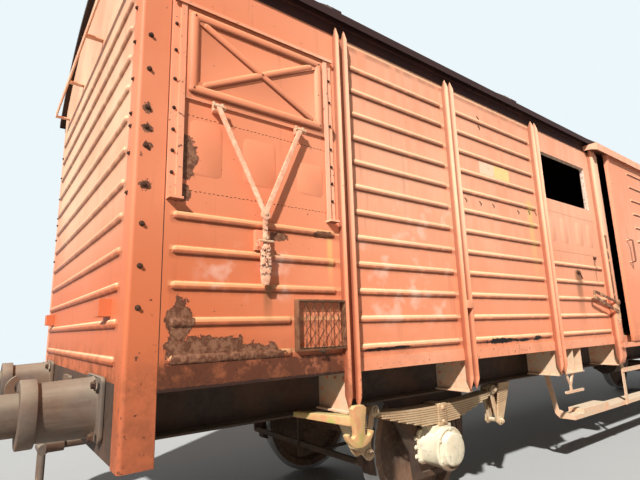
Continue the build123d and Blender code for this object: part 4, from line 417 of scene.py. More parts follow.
def wall_marks(at, streak):
    """The joint at the corner, the runs, the blank label and the pale patches of painted sheen on a side wall."""
    at.cover(between(abs(at.x), 6.2388, 6.2432, 0.0008), DARK_RUST)
    at.cover(stains(at, YELLOW_STAINS, streak) * 0.75, YELLOW_RUN)
    at.cover(stains(at, DARK_STAINS, streak) * 0.9, BROWN_RUN)
    left, right, bottom, top = BLANK_LABEL
    label = between(at.along, left, right, 0.006) * between(at.z, bottom, top, 0.004)
    label = label * spread(noise(at.place, 16.0, 5, 0.7), 0.28, 0.46)
    at.cover(label * 0.8, mixed(spread(at.along, -3.375, -3.365), *LABEL_TONES))
    # Pale patches in the middle of the bays are a painted sheen of light on the wall.
    sheen = between(at.along, -5.0, -3.95, 0.12) * between(at.z, 1.45, 2.3, 0.1)
    sheen = bigger(sheen, between(at.along, -6.05, -5.55, 0.08) * between(at.z, 1.58, 1.86, 0.03))
    sheen = sheen * spread(noise(at.place, 7.0, 3, 0.5), 0.52, 0.7)
    at.cover(sheen * 0.3, SHEEN_PAINT)


def peeled(at, fine):
    """Scabs down to the primer with dark rims, and the holes at the foot of a side wall."""
    for places, scale, amount in ((SCABS, 14.0, 1.2), (BOLT_RUST, 60.0, 1.5)):
        broken = ragged(at, places, scale, amount)
        scab = spread(broken, 1.02, 0.96)
        rim = spread(broken, 1.14, 1.02) * (1.0 - scab)
        at.cover(scab, mixed(spread(fine, 0.4, 0.6), BARE_PRIMER, PRIMER_RUST))
        at.cover(rim, DARK_RUST)
        at.relief = at.relief + scab * -1.6 + rim
    at.cover(spread(ragged(at, HOLES, 30.0, 1.3), 1.04, 1.0), HOLE_DARK)


def boarded_inside(at, fine, worn_wall):
    """Boards on the inner faces of a wall, and pale cut edges in the windows of a side wall."""
    inside = spread(abs(at.y), 1.318, 1.312) * spread(abs(at.x), 6.38, 6.372)
    seam = spread(maths("PINGPONG", at.z, 0.07), 0.003, 0.001)
    grain = noise(stretched(at.place, (1.2, 1.2, 26.0)), 3.0, 6)
    wood = mixed(seam, mixed(spread(grain, 0.3, 0.7), DARK_WOOD, OLD_WOOD), WOOD_SEAM)
    at.cover(inside, wood)
    if worn_wall:
        cut = between(abs(at.y), 1.2868, 1.3278, 0.0008) * spread(abs(at.x), 6.19, 6.18)
        at.cover(cut * spread(fine, 0.75, 0.35), CUT_EDGE)
    at.relief = at.relief + seam * inside * -2.0


def red_paint(
    name, fading=0.0, sunlit_cream=0.0, worn_wall=False, end_wall=False, foot_rust=0.3, foot_depth=1.0,
    chipping=0.0, rods=False, band=False, channel_shade=False, handles=False,
):
    """The weathered red paint; worn_wall adds everything that belongs to one place on a side wall."""
    at = Finish(name)
    if end_wall:
        at.along = abs(at.x) * -1.0
    cloud = noise(at.place, 0.9, 5)
    streak = noise(stretched(at.place, (9.0, 9.0, 0.75)), 1.4, 5)
    fine = noise(at.place, 38.0, 6, 0.65)
    grit = noise(at.place, 210.0, 3)
    near_end = spread(at.along, -5.15, -5.19)
    dust = mixed(near_end * (0.0 if end_wall else 0.75), DUST_AND_HIGHLIGHT, END_DUST_AND_HIGHLIGHT)

    fade = spread(at.along, -6.6, -4.2) * 0.55 + spread(at.z, 1.15, 2.5) * 0.34 + cloud * 0.6 + (fading - 0.3)
    at.colour = mixed(spread(fade, 0.0, 0.6), DEEP_RED, WORN_RED)
    chalk = spread(fade, 0.5, 1.15) * (spread(streak, 0.3, 0.62) * 0.3 + 0.55)
    at.cover(chalk, CHALKY_RED)
    # Painted sunlight: the paint turns cream towards the top, where the light falls strongest.
    if sunlit_cream:
        pale = spread(at.z, 1.6, 2.55) * (spread(cloud, 0.36, 0.6) * 0.45 + 0.55)
        at.cover(pale * sunlit_cream, SUNLIT_CREAM)
    at.cover(spread(streak, 0.58, 0.74) * 0.22, GRIME_AND_SHADE)
    if worn_wall or end_wall:
        bead_shade_and_dirt(at, streak, dust, worn_wall)
    # Dust with a painted highlight on faces that look up, and painted shade with grime on faces that look down.
    at.cover(at.up * spread(fine, 0.2, 0.55), dust)
    at.cover(at.down * (0.25 if end_wall else 0.85), GRIME_AND_SHADE)
    if worn_wall:
        wall_marks(at, streak)

    low = spread(at.z, 1.42, 1.17)
    chips = maths("GREATER_THAN", near_end * 0.02 + fine, low * -0.05 + (0.715 - chipping))
    at.cover(chips * 0.88, DARK_RUST)
    edge_rust = low * spread(noise(at.place, 6.0, 6, 0.7), 0.42, 0.6) * bigger(near_end, foot_rust)
    at.cover(edge_rust * foot_depth, RUST)
    at.cover(spread(at.z, 1.55, 0.95) * near_end * 0.45, GRIME_AND_SHADE)
    at.relief = fine * 0.35 - chips

    if band:
        strip = near_end * spread(noise(at.place, 12.0, 6, 0.7), 0.7, 0.48)
        at.cover(strip * 0.93, BAND_RUST)
        at.cover(near_end * spread(at.z + fine * 0.03, 1.2, 1.194) * 0.8, BAND_PITS)
    # Painted shade, with some dirt, darkens the web and inner faces of a post's channel, where its flanges shade
    # them.
    if channel_shade:
        at.cover(spread(abs(at.y), 1.378, 1.352) * 0.72, SHADED_RED)
    if handles:
        grip = spread(abs(at.y), 1.458, 1.464) * between(at.z, 2.00, 2.42, 0.01)
        at.cover(grip * 0.85, GRIPPED)
    if rods:
        bare = spread(at.z, 2.6, 2.592)
        at.cover(bare, mixed(spread(fine, 0.35, 0.62), *ROD_TONES))
        flaked = bare * spread(noise(at.place, 60.0, 5, 0.7), 0.51, 0.58)
        at.cover(flaked * between(at.z, 1.7, 1.98, 0.02), DARK_RUST)
    if worn_wall:
        peeled(at, fine)
    if worn_wall or end_wall:
        boarded_inside(at, fine, worn_wall)
    return close(at, grit * 0.16 + 0.5 + edge_rust * 0.25, 0.0012, 0.0018, gloss=0.28)


wall_paint = red_paint("wall_paint", worn_wall=True)
corner_paint = red_paint("corner_paint", worn_wall=True, foot_depth=0.45)
post_paint = red_paint("post_paint", fading=0.12, sunlit_cream=0.22, chipping=0.02, channel_shade=True)
fitting_paint = red_paint("fitting_paint", fading=0.12, chipping=0.02)
end_paint = red_paint("end_paint", fading=-0.1, sunlit_cream=0.6, end_wall=True)
shutter_paint = red_paint("shutter_paint", fading=0.05, rods=True)
guide_paint = red_paint("guide_paint", fading=0.35, chipping=0.05)
door_paint = red_paint("door_paint", fading=-0.12, foot_rust=0.6, handles=True)
sill_paint = red_paint("sill_paint", fading=0.15, foot_rust=0.15, chipping=0.02, band=True)

# %% [markdown]
# ## Steel of the running gear
# Below the floor nothing is red for long. Brake dust and oil darken the frame, pale road dust lies on everything
# that looks up, and the springs, steps and brackets in the light at the side are dusty tan. One function covers
# them with different colours, because all are the same rust and dust in other amounts. The near-black cantrails
# use it too, as painted shade under the eaves.

# %% Dusty, rusty and cast steel
MOSS, OIL, OIL_STAIN = (0.36, 0.38, 0.07), (0.16, 0.085, 0.045), (0.42, 0.4, 0.27)
LOCK_TONES = (0.11, 0.04, 0.02), (0.55, 0.29, 0.15)
LEAF_SEAM = (0.05, 0.028, 0.014)


def worn_steel(
    name, base, rust, dust, dust_amount, rough=0.75, scale=18.0, moss=0.0, oily_below=0.0, leaves=False, lock=False
):
    """Rust in two tones under settled dust; leaves draws the joints of a spring, lock the dark levers."""
    at = Finish(name)
    cloud = noise(at.place, 3.2, 5)
    fine = noise(at.place, scale, 6, 0.65)
    pits = noise(at.place, 95.0, 4, 0.6)
    at.colour = mixed(spread(cloud, 0.38, 0.62), base, rust)
    at.cover(spread(fine, 0.5, 0.72) * 0.6, DARK_RUST)
    settled = at.up * 0.8 + spread(fine, 0.35, 0.7) * dust_amount
    at.cover(maths("MINIMUM", settled, 1.0), dust)
    at.relief = pits * 0.5 + fine * 0.7
    if moss:
        at.cover(spread(noise(at.place, 9.0, 5), 0.52, 0.66) * moss, MOSS)
    if oily_below:
        oil = spread(cloud * 0.05 + at.z, oily_below + 0.035, oily_below + 0.01)
        at.cover(oil * 0.85, OIL)
        at.cover(spread(noise(at.place, 7.0, 4), 0.54, 0.68) * 0.55, OIL_STAIN)
    if lock:
        lever = bigger(spread(abs(at.y), 1.3984, 1.399), spread(at.z, 1.634, 1.64))
        at.cover(lever * 0.92, mixed(spread(fine, 0.48, 0.62), *LOCK_TONES))
    if leaves:
        depth = length(abs(at.x) - AXLE_X, at.z - (LEAF_TOP + LEAF_RADIUS)) - LEAF_RADIUS
        seam = spread(maths("PINGPONG", depth, LEAF_THICKNESS / 2), 0.0022, 0.0008)
        seam = seam * (1.0 - (at.up + at.down)) * between(depth, 0.004, LEAF_PACK - 0.004, 0.001)
        at.cover(seam * 0.85, LEAF_SEAM)
        at.relief = seam * -2.0 + at.relief * 0.5
    return close(at, pits * 0.2 + (rough - 0.1), 0.0015, 0.0025, gloss=0.3)


underframe_steel = worn_steel(
    "underframe_steel", (0.045, 0.026, 0.018), (0.085, 0.04, 0.022), (0.2, 0.145, 0.095), 0.15
)
dusty_steel = worn_steel("dusty_steel", (0.42, 0.285, 0.17), (0.5, 0.28, 0.14), (0.72, 0.57, 0.38), 0.45)
pale_console = worn_steel("console_plate", (0.6, 0.4, 0.25), (0.66, 0.36, 0.21), (0.8, 0.62, 0.43), 0.5)
hook_steel = worn_steel(
    "hook_steel", (0.58, 0.3, 0.13), (0.52, 0.23, 0.1), (0.66, 0.52, 0.23), 0.4, moss=0.55
)
spring_steel = worn_steel(
    "spring_steel", (0.52, 0.35, 0.19), (0.42, 0.24, 0.12), (0.7, 0.54, 0.33), 0.5, scale=70.0, leaves=True
)
box_casting = worn_steel(
    "axle_box_casting", (0.7, 0.6, 0.42), (0.58, 0.46, 0.3), (0.8, 0.71, 0.54), 0.3, oily_below=0.42
)
buffer_casting = worn_steel(
    "buffer_casting", (0.11, 0.08, 0.062), (0.15, 0.085, 0.05), (0.3, 0.23, 0.16), 0.2
)
black_iron = worn_steel(
    "black_iron", (0.04, 0.018, 0.011), (0.08, 0.032, 0.016), (0.13, 0.08, 0.045), 0.1, rough=0.95
)
pale_rod = worn_steel("pale_rod", (0.72, 0.42, 0.25), (0.62, 0.33, 0.18), (0.85, 0.64, 0.43), 0.5)
lock_steel = worn_steel(
    "lock_steel", (0.72, 0.4, 0.23), (0.6, 0.3, 0.16), (0.85, 0.6, 0.39), 0.4, lock=True
)
box_frame = worn_steel("label_box_frame", (0.2, 0.085, 0.04), (0.11, 0.04, 0.018), (0.5, 0.26, 0.13), 0.3)
# The cantrails under the eaves are near-black: painted shade of the roof's overhang.
eave_shade = worn_steel("eave_shade", (0.04, 0.012, 0.01), (0.06, 0.018, 0.012), (0.1, 0.04, 0.028), 0.1)

# %% [markdown]
# Wheels shine only where the rail and the brake shoes touch them. The distance from the axle tells the tread from
# the web, so each wheelset has its own finish with its own centre.

# %% Wheels and axles
WHEEL_RUSTS = (0.1, 0.055, 0.035), (0.19, 0.095, 0.05)
WHEEL_DUST, BARE_TREAD = (0.3, 0.21, 0.13), (0.42, 0.4, 0.38)


def wheel_finish(name, centre_x):
    at = Finish(name)
    fine = noise(at.place, 26.0, 6, 0.65)
    reach = length(at.x - centre_x, at.z - AXLE_Z) + (fine * 0.012 - 0.006)
    tread = spread(reach, 0.478, 0.486)
    at.colour = mixed(spread(noise(at.place, 5.0, 5), 0.35, 0.65), *WHEEL_RUSTS)
    at.cover(spread(fine, 0.5, 0.7) * 0.5, WHEEL_DUST)
    at.cover(tread, BARE_TREAD)
    at.relief = fine
    return close(at, tread * -0.45 + 0.8, 0.001)


wheel_a_steel = wheel_finish("wheel_steel_a", -AXLE_X)
wheel_b_steel = wheel_finish("wheel_steel_b", AXLE_X)

# %% [markdown]
# The roof is sheet under old grey-brown coating, stained along its slope, with painted shade on the faces that look
# down and along its edge. Inside lie worn boards across the floor.

# %% Roof and floor boards
COATINGS = (0.06, 0.043, 0.036), (0.11, 0.08, 0.064)
ROOF_RUN, ROOF_SPECK = (0.16, 0.07, 0.038), (0.2, 0.175, 0.13)
ROOF_SHADE, ROOF_EDGE_SHADE = (0.03, 0.013, 0.009), (0.03, 0.008, 0.007)
BOARDS = (0.1, 0.065, 0.04), (0.24, 0.17, 0.105)
BOARD_DIRT, BOARD_SEAM = (0.05, 0.035, 0.025), (0.012, 0.008, 0.006)


def roof_finish():
    at = Finish("roof_coating")
    cloud = noise(at.place, 1.1, 6)
    runs = noise(stretched(at.place, (7.0, 0.7, 0.7)), 2.0, 5)
    fine = at.relief = noise(at.place, 45.0, 5)
    at.colour = mixed(spread(cloud, 0.35, 0.65), *COATINGS)
    at.cover(spread(runs, 0.52, 0.72) * 0.6, ROOF_RUN)
    at.cover(at.down * 0.9, ROOF_SHADE)
    at.cover(spread(fine, 0.62, 0.75) * 0.5, ROOF_SPECK)
    # Painted shade along the roof's edge, under the overhang.
    at.cover(spread(abs(at.y), 1.38, 1.394) * 0.9, ROOF_EDGE_SHADE)
    return close(at, cloud * 0.3 + 0.6, edge=0.004, gloss=0.25)


def board_finish():
    at = Finish("floor_boards")
    seam = spread(maths("PINGPONG", at.x, 0.09), 0.003, 0.001)
    grain = noise(stretched(at.place, (30.0, 1.5, 1.5)), 3.0, 6)
    at.colour = mixed(spread(grain, 0.3, 0.7), *BOARDS)
    at.cover(spread(noise(at.place, 2.4, 5), 0.45, 0.65) * 0.5, BOARD_DIRT)
    at.cover(seam, BOARD_SEAM)
    at.relief = seam * -2.0 + grain
    return close(at, 0.85)


roof_coating = roof_finish()
floor_boards = board_finish()

# %% [markdown]
# ## Painting the CAD nodes
# Each node keeps its shape and only its material slots are filled. The table says which finish each one gets.

# %% Finishes of the CAD nodes
FINISHES = {
    wall_paint: "wall_near_a wall_near_b wall_far_a wall_far_b",
    eave_shade: "cantrails",
    corner_paint: "corner_posts",
    sill_paint: "side_sills sill_strips",
    post_paint: "side_posts",
    fitting_paint: "door_rails",
    box_frame: "label_boxes",
    guide_paint: "shutter_guides",
    end_paint: "end_walls end_fittings",
    shutter_paint: " ".join(SHUTTERS),
    door_paint: "door_near door_far",
    lock_steel: "door_locks",
    roof_coating: "roof",
    floor_boards: "floor",
    wheel_a_steel: "wheels_a axle_a",
    wheel_b_steel: "wheels_b axle_b",
    pale_console: "consoles steps changeover_levers",
    spring_steel: "springs spring_buckles spring_links spring_brackets",
    hook_steel: "rope_hooks",
    box_casting: "axle_boxes",
    buffer_casting: "buffer_housings buffers draw_hooks screw_couplings",
    underframe_steel: (
        "sole_bars headstocks underframe_grid axle_guards "
        "brake_shoes brake_beams brake_vessels brake_rods brake_pipe"
    ),
}


def paint(obj, finish):
    """Fills every material slot of an object, or adds one where it has none."""
    if not obj.material_slots:
        obj.data.materials.append(finish)
    for holder in obj.material_slots:
        holder.material = finish


for finish, names in FINISHES.items():
    for name in names.split():
        paint(nodes[name], finish)
unpainted = sorted(set(nodes) - set(" ".join(FINISHES.values()).split()))
print("nodes left without a finish:", unpainted)

# %% [markdown]
# ## Making pieces
# A piece starts as a bmesh, is shaped there with operators, and becomes an object at the origin that rides on one
# body of the frame. Bars get their edges softened, because no rolled or cut edge is as sharp as a cube's. NEAR
# and TO_END are the directions out of the near side and out of the left end.

# %% Helpers for pieces
NEAR, TO_END = (0, -1, 0), (-1, 0, 0)
HALF_TURN = Matrix.Rotation(pi, 3, "Z")


def facing(at, out):
    """A matrix that puts local Z along out, at a point."""
    return Matrix.Translation(at) @ Vector(out).to_track_quat("Z", "Y").to_matrix().to_4x4()


def copied(bm):
    """Copies everything in place and gives back the corners and the faces of the copy."""
    copies = bmesh.ops.duplicate(bm, geom=bm.verts[:] + bm.edges[:] + bm.faces[:])["geom"]
    corners = [item for item in copies if isinstance(item, bmesh.types.BMVert)]
    return corners, [item for item in copies if isinstance(item, bmesh.types.BMFace)]


def turned_copy(bm):
    """Copies everything half a turn round the wagon's middle, for the far side."""
    bmesh.ops.rotate(bm, verts=copied(bm)[0], cent=(0, 0, 0), matrix=HALF_TURN)


def copied_to_corners(bm):
    """Mirrors everything to the other end and then to the other side, so that all four corners have it."""
    for factors in ((-1, 1, 1), (1, -1, 1)):
        corners, faces = copied(bm)
        bmesh.ops.scale(bm, verts=corners, vec=factors)
        bmesh.ops.reverse_faces(bm, faces=faces)


def turned_outward(bm):
    bmesh.ops.recalc_face_normals(bm, faces=bm.faces[:])


def bevelled(bm, edges, width, clamp=False):
    settings = {"segments": 2, "profile": 0.5, "affect": "EDGES", "material": -1, "clamp_overlap": clamp}
    bmesh.ops.bevel(bm, geom=edges, offset=width, **settings)


def bar(bm, low, high, soft=0.002):
    """A bar between two corners with softened edges."""
    low, high = Vector(map(min, low, high)), Vector(map(max, low, high))
    shape = Matrix.Translation((low + high) / 2) @ Matrix.Diagonal((*(high - low), 1))
    corners = bmesh.ops.create_cube(bm, size=1, matrix=shape)["verts"]
    bevelled(bm, list({edge for corner in corners for edge in corner.link_edges}), soft)


def cone(bm, place, sides, foot, top, height):
    """A cone or cylinder about the place's own Z, closed at both ends."""
    bmesh.ops.create_cone(
        bm, cap_ends=True, segments=sides, radius1=foot, radius2=top, depth=height, matrix=place
    )


def rod(bm, start, end, radius, sides=12):
    """A round rod between two points."""
    start, end = Vector(start), Vector(end)
    cone(bm, facing((start + end) / 2, end - start), sides, radius, radius, (end - start).length)


def bolt(bm, at, out, radius=0.011, height=0.008):
    """A hexagon head on a washer, standing out of a surface."""
    at, out = Vector(at), Vector(out).normalized()
    cone(bm, facing(at + out * 0.001, out), 12, radius * 1.45, radius * 1.35, 0.004)
    cone(bm, facing(at + out * height / 2, out), 6, radius, radius * 0.88, height + 0.002)


def ball(bm, place, radii, segments, rings):
    """A sphere pressed or stretched to three radii."""
    shape = place @ Matrix.Diagonal((*radii, 1))
    bmesh.ops.create_uvsphere(bm, u_segments=segments, v_segments=rings, radius=1, matrix=shape)


def rivet(bm, at, out, radius=0.012, height=0.007):
    """A round rivet head: a sphere pressed flat and sunk by half."""
    ball(bm, facing(at, out), (radius, radius, height), 10, 5)


def piece(bm, name, finish, body="wagon", smooth=False):
    """Turns a finished bmesh into a piece that rides on a body."""
    mesh = bpy.data.meshes.new(name)
    bm.to_mesh(mesh)
    bm.free()
    if smooth:
        mesh.polygons.foreach_set("use_smooth", [True] * len(mesh.polygons))
        mesh.set_sharp_from_angle(angle=radians(40))
    mesh.materials.append(finish)
    made = placed(name, mesh)
    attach(made, body)
    print("piece", name, len(mesh.polygons), "faces on", body)
    return made


# %% [markdown]
# ## Rolled beads
# The wall sheets carry long pressed beads, which stiffen them like corrugated card. The CAD has them as plain
# ridges. Each gets a crown here: a ball stretched along the bead, so that it has a round section and soft ends.


# %% Crowns of the wall beads
def bead_height(row):
    return BEAD_TOP_ROW - BEAD_PITCH * row


def crown(bm, start, end, outward, half_width, proud):
    """A ball stretched from start to end, its back flattened into the sheet that faces outward."""
    start, end, outward = Vector(start), Vector(end), Vector(outward)
    lengthwise = (end - start).normalized()
    sideways = outward.cross(lengthwise)
    middle, stretch = (start + end) / 2, (end - start).length / 2 - half_width
    for vert in bmesh.ops.create_uvsphere(bm, u_segments=14, v_segments=9, radius=1)["verts"]:
        reach = vert.co.z * half_width + (stretch if vert.co.z > 0 else -stretch)
        rise = vert.co.x * proud * (1 if vert.co.x > 0 else 0.25)
        vert.co = middle + lengthwise * reach + outward * rise + sideways * (vert.co.y * half_width)


for end_name, facing_x in (("a", 1), ("b", -1)):
    bm = bmesh.new()
    for left, right, first_row in BAYS:
        for row in range(first_row, BEAD_ROWS):
            start, end, height = left + BEAD_END_GAP, right - BEAD_END_GAP, bead_height(row)
            if end_name == "a" and left == -CORNER_X and height < LABEL_BOX[3]:
                end = LABEL_BOX[0] - BEAD_END_GAP / 2
            places = ((facing_x * start, -WALL_FACE, height), (facing_x * end, -WALL_FACE, height))
            crown(bm, *places, NEAR, BEAD_HALF, BEAD_PROUD)
    turned_copy(bm)
    turned_outward(bm)
    piece(bm, f"side_bead_crowns_{end_name}", wall_paint, smooth=True)

END_BEAD_GAP = 0.034
bm = bmesh.new()
for row in range(BEAD_ROWS):
    reach, height = CORNER_Y - END_BEAD_GAP, bead_height(row)
    crown(bm, (-END_FACE, -reach, height), (-END_FACE, reach, height), TO_END, BEAD_HALF, BEAD_PROUD)
turned_copy(bm)
turned_outward(bm)
piece(bm, "end_bead_crowns", end_paint, smooth=True)

# %% [markdown]
# ## Rolled and pressed edges
# A CAD solid has edges as sharp as a knife. The parts a visitor looks at closely are copied, their flat faces are
# joined up again, and every sharp edge is bevelled. The copy takes the place of the CAD node.


# %% Softened copies of CAD nodes
def softened(name, finish, slot, width, body="wagon"):
    """A copy of a node with bevelled edges, which rides in its place."""
    bm = bmesh.new()
    bm.from_mesh(nodes[name].data)
    bm.transform(nodes[name].matrix_world)
    bmesh.ops.remove_doubles(bm, verts=bm.verts, dist=0.0001)
    bmesh.ops.dissolve_limit(bm, angle_limit=radians(2), verts=bm.verts, edges=bm.edges)
    sharp = [edge for edge in bm.edges if len(edge.link_faces) == 2 and edge.calc_face_angle(0) > radians(32)]
    bevelled(bm, sharp, width, clamp=True)
    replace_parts(piece(bm, f"{name}_soft", finish, body, smooth=True), name)


SOFTENED = (
    ("rope_hooks", hook_steel, "dusty_steel", 0.006),
    ("axle_boxes", box_casting, "grey_castings", 0.006),
    ("spring_buckles", spring_steel, "dusty_steel", 0.003),
    ("spring_links", dusty_steel, "dusty_steel", 0.004),
    ("side_posts", post_paint, "wall_paint", 0.001),
    ("label_boxes", box_frame, "wall_paint", 0.0012),
    ("buffer_housings", buffer_casting, "grey_castings", 0.006),
)
for name in SHUTTERS:
    softened(name, shutter_paint, "wall_paint", 0.0015, name)
for row in SOFTENED:
    softened(*row)

# %% [markdown]
# ## Bolts and rivets
# The guides of the shutters, the corner posts, the consoles, the door frames and the roof straps are held by bolts
# and rivets. They are set out in rows, and each row belongs to the part it holds.

# %% Bolts of the guides and corner posts
GUIDE_BOLT_HEIGHTS = (2.994, 2.843, 2.681, 2.524, 2.408, 2.299, 2.187)
CORNER_SIDE_HEIGHTS = (2.882, 2.697, 2.494, 2.392, 2.299, 2.107, 1.919, 1.724, 1.537)
CORNER_END_HEIGHTS = (3.067, 2.872, 2.667, 2.482, 2.417, 2.277, 2.08)
GUIDE_BOLT_GAP, STRIP_FACE = 0.036, 1.338

bm = bmesh.new()
for centre, width, face in SHUTTERS.values():
    for side in (-1, 1):
        for height in GUIDE_BOLT_HEIGHTS:
            x = centre + side * (width / 2 + GUIDE_BOLT_GAP)
            bolt(bm, (x, face * STRIP_FACE, height), (0, face, 0), 0.007, 0.008)
piece(bm, "guide_bolts", black_iron)

bm = bmesh.new()
for height in CORNER_SIDE_HEIGHTS:
    bolt(bm, (-6.34, -WALL_FACE, height), NEAR, 0.0095, 0.013)
for height in CORNER_END_HEIGHTS:
    bolt(bm, (-END_FACE, -1.245, height), TO_END, 0.0085, 0.01)
copied_to_corners(bm)
piece(bm, "corner_bolts", black_iron)

# Knobs, a worn latch and a few scratched notches are only on the near side, round the missing shutter
bm = bmesh.new()
bolt(bm, (-1.563, -WALL_FACE, 2.088), NEAR, 0.016, 0.022)
bolt(bm, (-2.000, -WALL_FACE, 1.915), NEAR, 0.018, 0.018)
rod(bm, (-2.006, -WALL_FACE - 0.022, 1.915), (-1.975, -WALL_FACE - 0.026, 1.845), 0.007)
bolt(bm, (-2.535, -WALL_FACE, 2.108), NEAR, 0.012, 0.01)
NOTCHES = (
    (-3.829, 2.417), (-3.626, 2.415), (-3.436, 2.421), (-3.038, 2.419), (-2.843, 2.438), (-2.724, 2.442),
    (-2.542, 2.44), (-3.543, 3.205), (-3.538, 3.118),
)
for x, height in NOTCHES:
    start, bend = (x - 0.014, -WALL_FACE - 0.001, height + 0.012), (x + 0.012, -WALL_FACE - 0.001, height - 0.01)
    rod(bm, start, (bend[0], -WALL_FACE - 0.002, bend[2]), 0.004, 6)
    rod(bm, bend, (x + 0.002, -WALL_FACE - 0.001, height - 0.022), 0.003, 6)
piece(bm, "wall_knobs", black_iron)

# %% Rivets of posts, consoles, rails and cover
bm = bmesh.new()
CONSOLE_X = (-5.134, -3.989, -2.638, -1.3)
for x in CONSOLE_X:
    for side in (-1, 1):
        for y, height in ((-1.28, 1.13), (-1.2, 1.13), (-1.12, 1.13), (-1.07, 1.06), (-1.07, 0.99)):
            rivet(bm, (x + side * 0.005, y, height), (side, 0, 0))
for x in (-1.27, -0.7, -0.1, 0.5, 1.1, 1.7, 2.3, 2.9, 3.5, 3.95):
    rivet(bm, (x, -1.426, 1.142), NEAR, 0.009, 0.006)
for index in range(11):
    rivet(bm, (-1.33 + 0.52 * index, -1.482, 3.385), NEAR, 0.008, 0.005)
for height in (1.42, 1.59):
    for x in (-1.335, -1.265):
        rivet(bm, (x, -1.398, height), NEAR, 0.009, 0.003)
turned_copy(bm)
piece(bm, "frame_rivets", fitting_paint, smooth=True)

# %% Rivets of the doors
DOOR_FACE = 1.444

for name, turn in (("door_near", False), ("door_far", True)):
    bm = bmesh.new()
    for index in range(8):
        height = 1.3 + 0.285 * index
        for x in (-1.059, 1.419):
            rivet(bm, (x, -DOOR_FACE, height), NEAR, 0.01, 0.006)
    for index in range(7):
        rivet(bm, (-0.8 + 0.34 * index, -DOOR_FACE, 1.221), NEAR, 0.01, 0.006)
    for x in (-0.67, 1.03):
        bolt(bm, (x, -DOOR_FACE, 1.262), NEAR, 0.016, 0.014)
    if turn:
        bmesh.ops.rotate(bm, verts=bm.verts, cent=(0, 0, 0), matrix=HALF_TURN)
    piece(bm, f"{name}_rivets", door_paint, name, smooth=True)

# %% Rivets of the roof straps and flange bolts of the buffers
ROOF_CENTRE, STRAP_RADIUS, STRAP_STEP = 2.1567, 1.9433, 0.075
bm = bmesh.new()
for strap in (POST_EDGES[0], -3.0, -1.0, 1.0, 3.0, -POST_EDGES[0]):
    for step in (*range(-10, -1), *range(2, 11)):
        lean = step * STRAP_STEP
        out = Vector((0, sin(lean), cos(lean)))
        for x in (strap - 0.02, strap + 0.02):
            rivet(bm, Vector((x, 0, ROOF_CENTRE)) + out * STRAP_RADIUS, out, 0.008, 0.004)
piece(bm, "roof_rivets", roof_coating, smooth=True)

bm = bmesh.new()
for y in (-0.875, 0.875):
    for side, up in ((-1, -1), (-1, 1), (1, -1), (1, 1)):
        bolt(bm, (-6.432, y + side * 0.145, 1.08 + up * 0.115), TO_END, 0.018, 0.016)
turned_copy(bm)
piece(bm, "buffer_bolts", black_iron)

# %% [markdown]
# ## Press marks and weld stitches
# The plain sheet under the windows was stitched on with short welds, which now show as two rusty dashed lines, and
# carries three faint rounded pads between them. Each pad is a plate with a soft edge that stands out 2 mm.


# %% Pads and stitches under the windows
def pad(bm, left, right, bottom, top, radius=0.035, proud=0.0018):
    """A low plate with rounded corners on the near wall."""
    outline = []
    for corner_x, corner_z, start in ((right, top, 0), (left, top, 1), (left, bottom, 2), (right, bottom, 3)):
        centre_x = corner_x - radius if corner_x == right else corner_x + radius
        centre_z = corner_z - radius if corner_z == top else corner_z + radius
        for step in range(5):
            angle = (start + step / 4) * pi / 2
            spot = (centre_x + radius * cos(angle), -WALL_FACE + 0.001, centre_z + radius * sin(angle))
            outline.append(bm.verts.new(spot))
    face = bm.faces.new(outline)
    risen = bmesh.ops.extrude_face_region(bm, geom=[face])["geom"]
    tops = [item for item in risen if isinstance(item, bmesh.types.BMVert)]
    bmesh.ops.translate(bm, verts=tops, vec=(0, -proud - 0.001, 0))
    middle = Vector(((left + right) / 2, 0, (bottom + top) / 2))
    shrink = Vector((1 - 0.012 / (right - left), 1, 1 - 0.012 / (top - bottom)))
    bmesh.ops.scale(bm, verts=tops, vec=shrink, space=Matrix.Translation(-middle))
    turned_outward(bm)


def stitches(bm, start, end, height, step=0.024):
    """A row of short weld beads along the near wall."""
    for index in range(int((end - start) / step)):
        x = start + step * (index + 0.5)
        at = (x, -WALL_FACE, height + 0.0015 * sin(index * 2.4))
        ball(bm, Matrix.Translation(at), (0.0075, 0.0022, 0.002), 6, 4)


bm = bmesh.new()
PADS = ((-6.13, -5.948, 2.195, 2.495), (-5.83, -5.62, 2.195, 2.465), (-5.478, -5.284, 2.2, 2.4))
for left, right, bottom, top in PADS:
    pad(bm, left, right, bottom, top)
for left, right in ((-2.5, -2.36), (-2.26, -2.1), (-1.92, -1.76), (-1.66, -1.52)):
    pad(bm, left, right, 2.2, 2.46)
copied_to_corners(bm)
piece(bm, "wall_pads", wall_paint, smooth=True)

bm = bmesh.new()
for ends in ((-6.15, -5.24), (-2.56, -1.4)):
    for height in (2.51, 2.112):
        stitches(bm, *ends, height)
copied_to_corners(bm)
piece(bm, "weld_stitches", black_iron)

# %% [markdown]
# ## Wire over the label box
# The waybill basket by the first post is covered with loose black wire. Two sets of slanting wires are walked
# across the opening in short steps, each step a little off its line, as hand-bent wire is. A turn button under the
# box keeps its lid.


# %% Netting and button
def wire(bm, start, end, wave):
    """A thin wire from start to end in four bent steps."""
    start, end = Vector(start), Vector(end)
    bends = [start.lerp(end, step / 4) for step in range(5)]
    for index in (1, 2, 3):
        sway, lift = 0.01 * sin(wave + index * 2.1), 0.011 * cos(wave + index * 1.7)
        bends[index] += Vector((sway, 0.0015 * cos(wave * 3 + index), lift))
    for first, second in zip(bends, bends[1:]):
        rod(bm, first, second, 0.0013, 6)


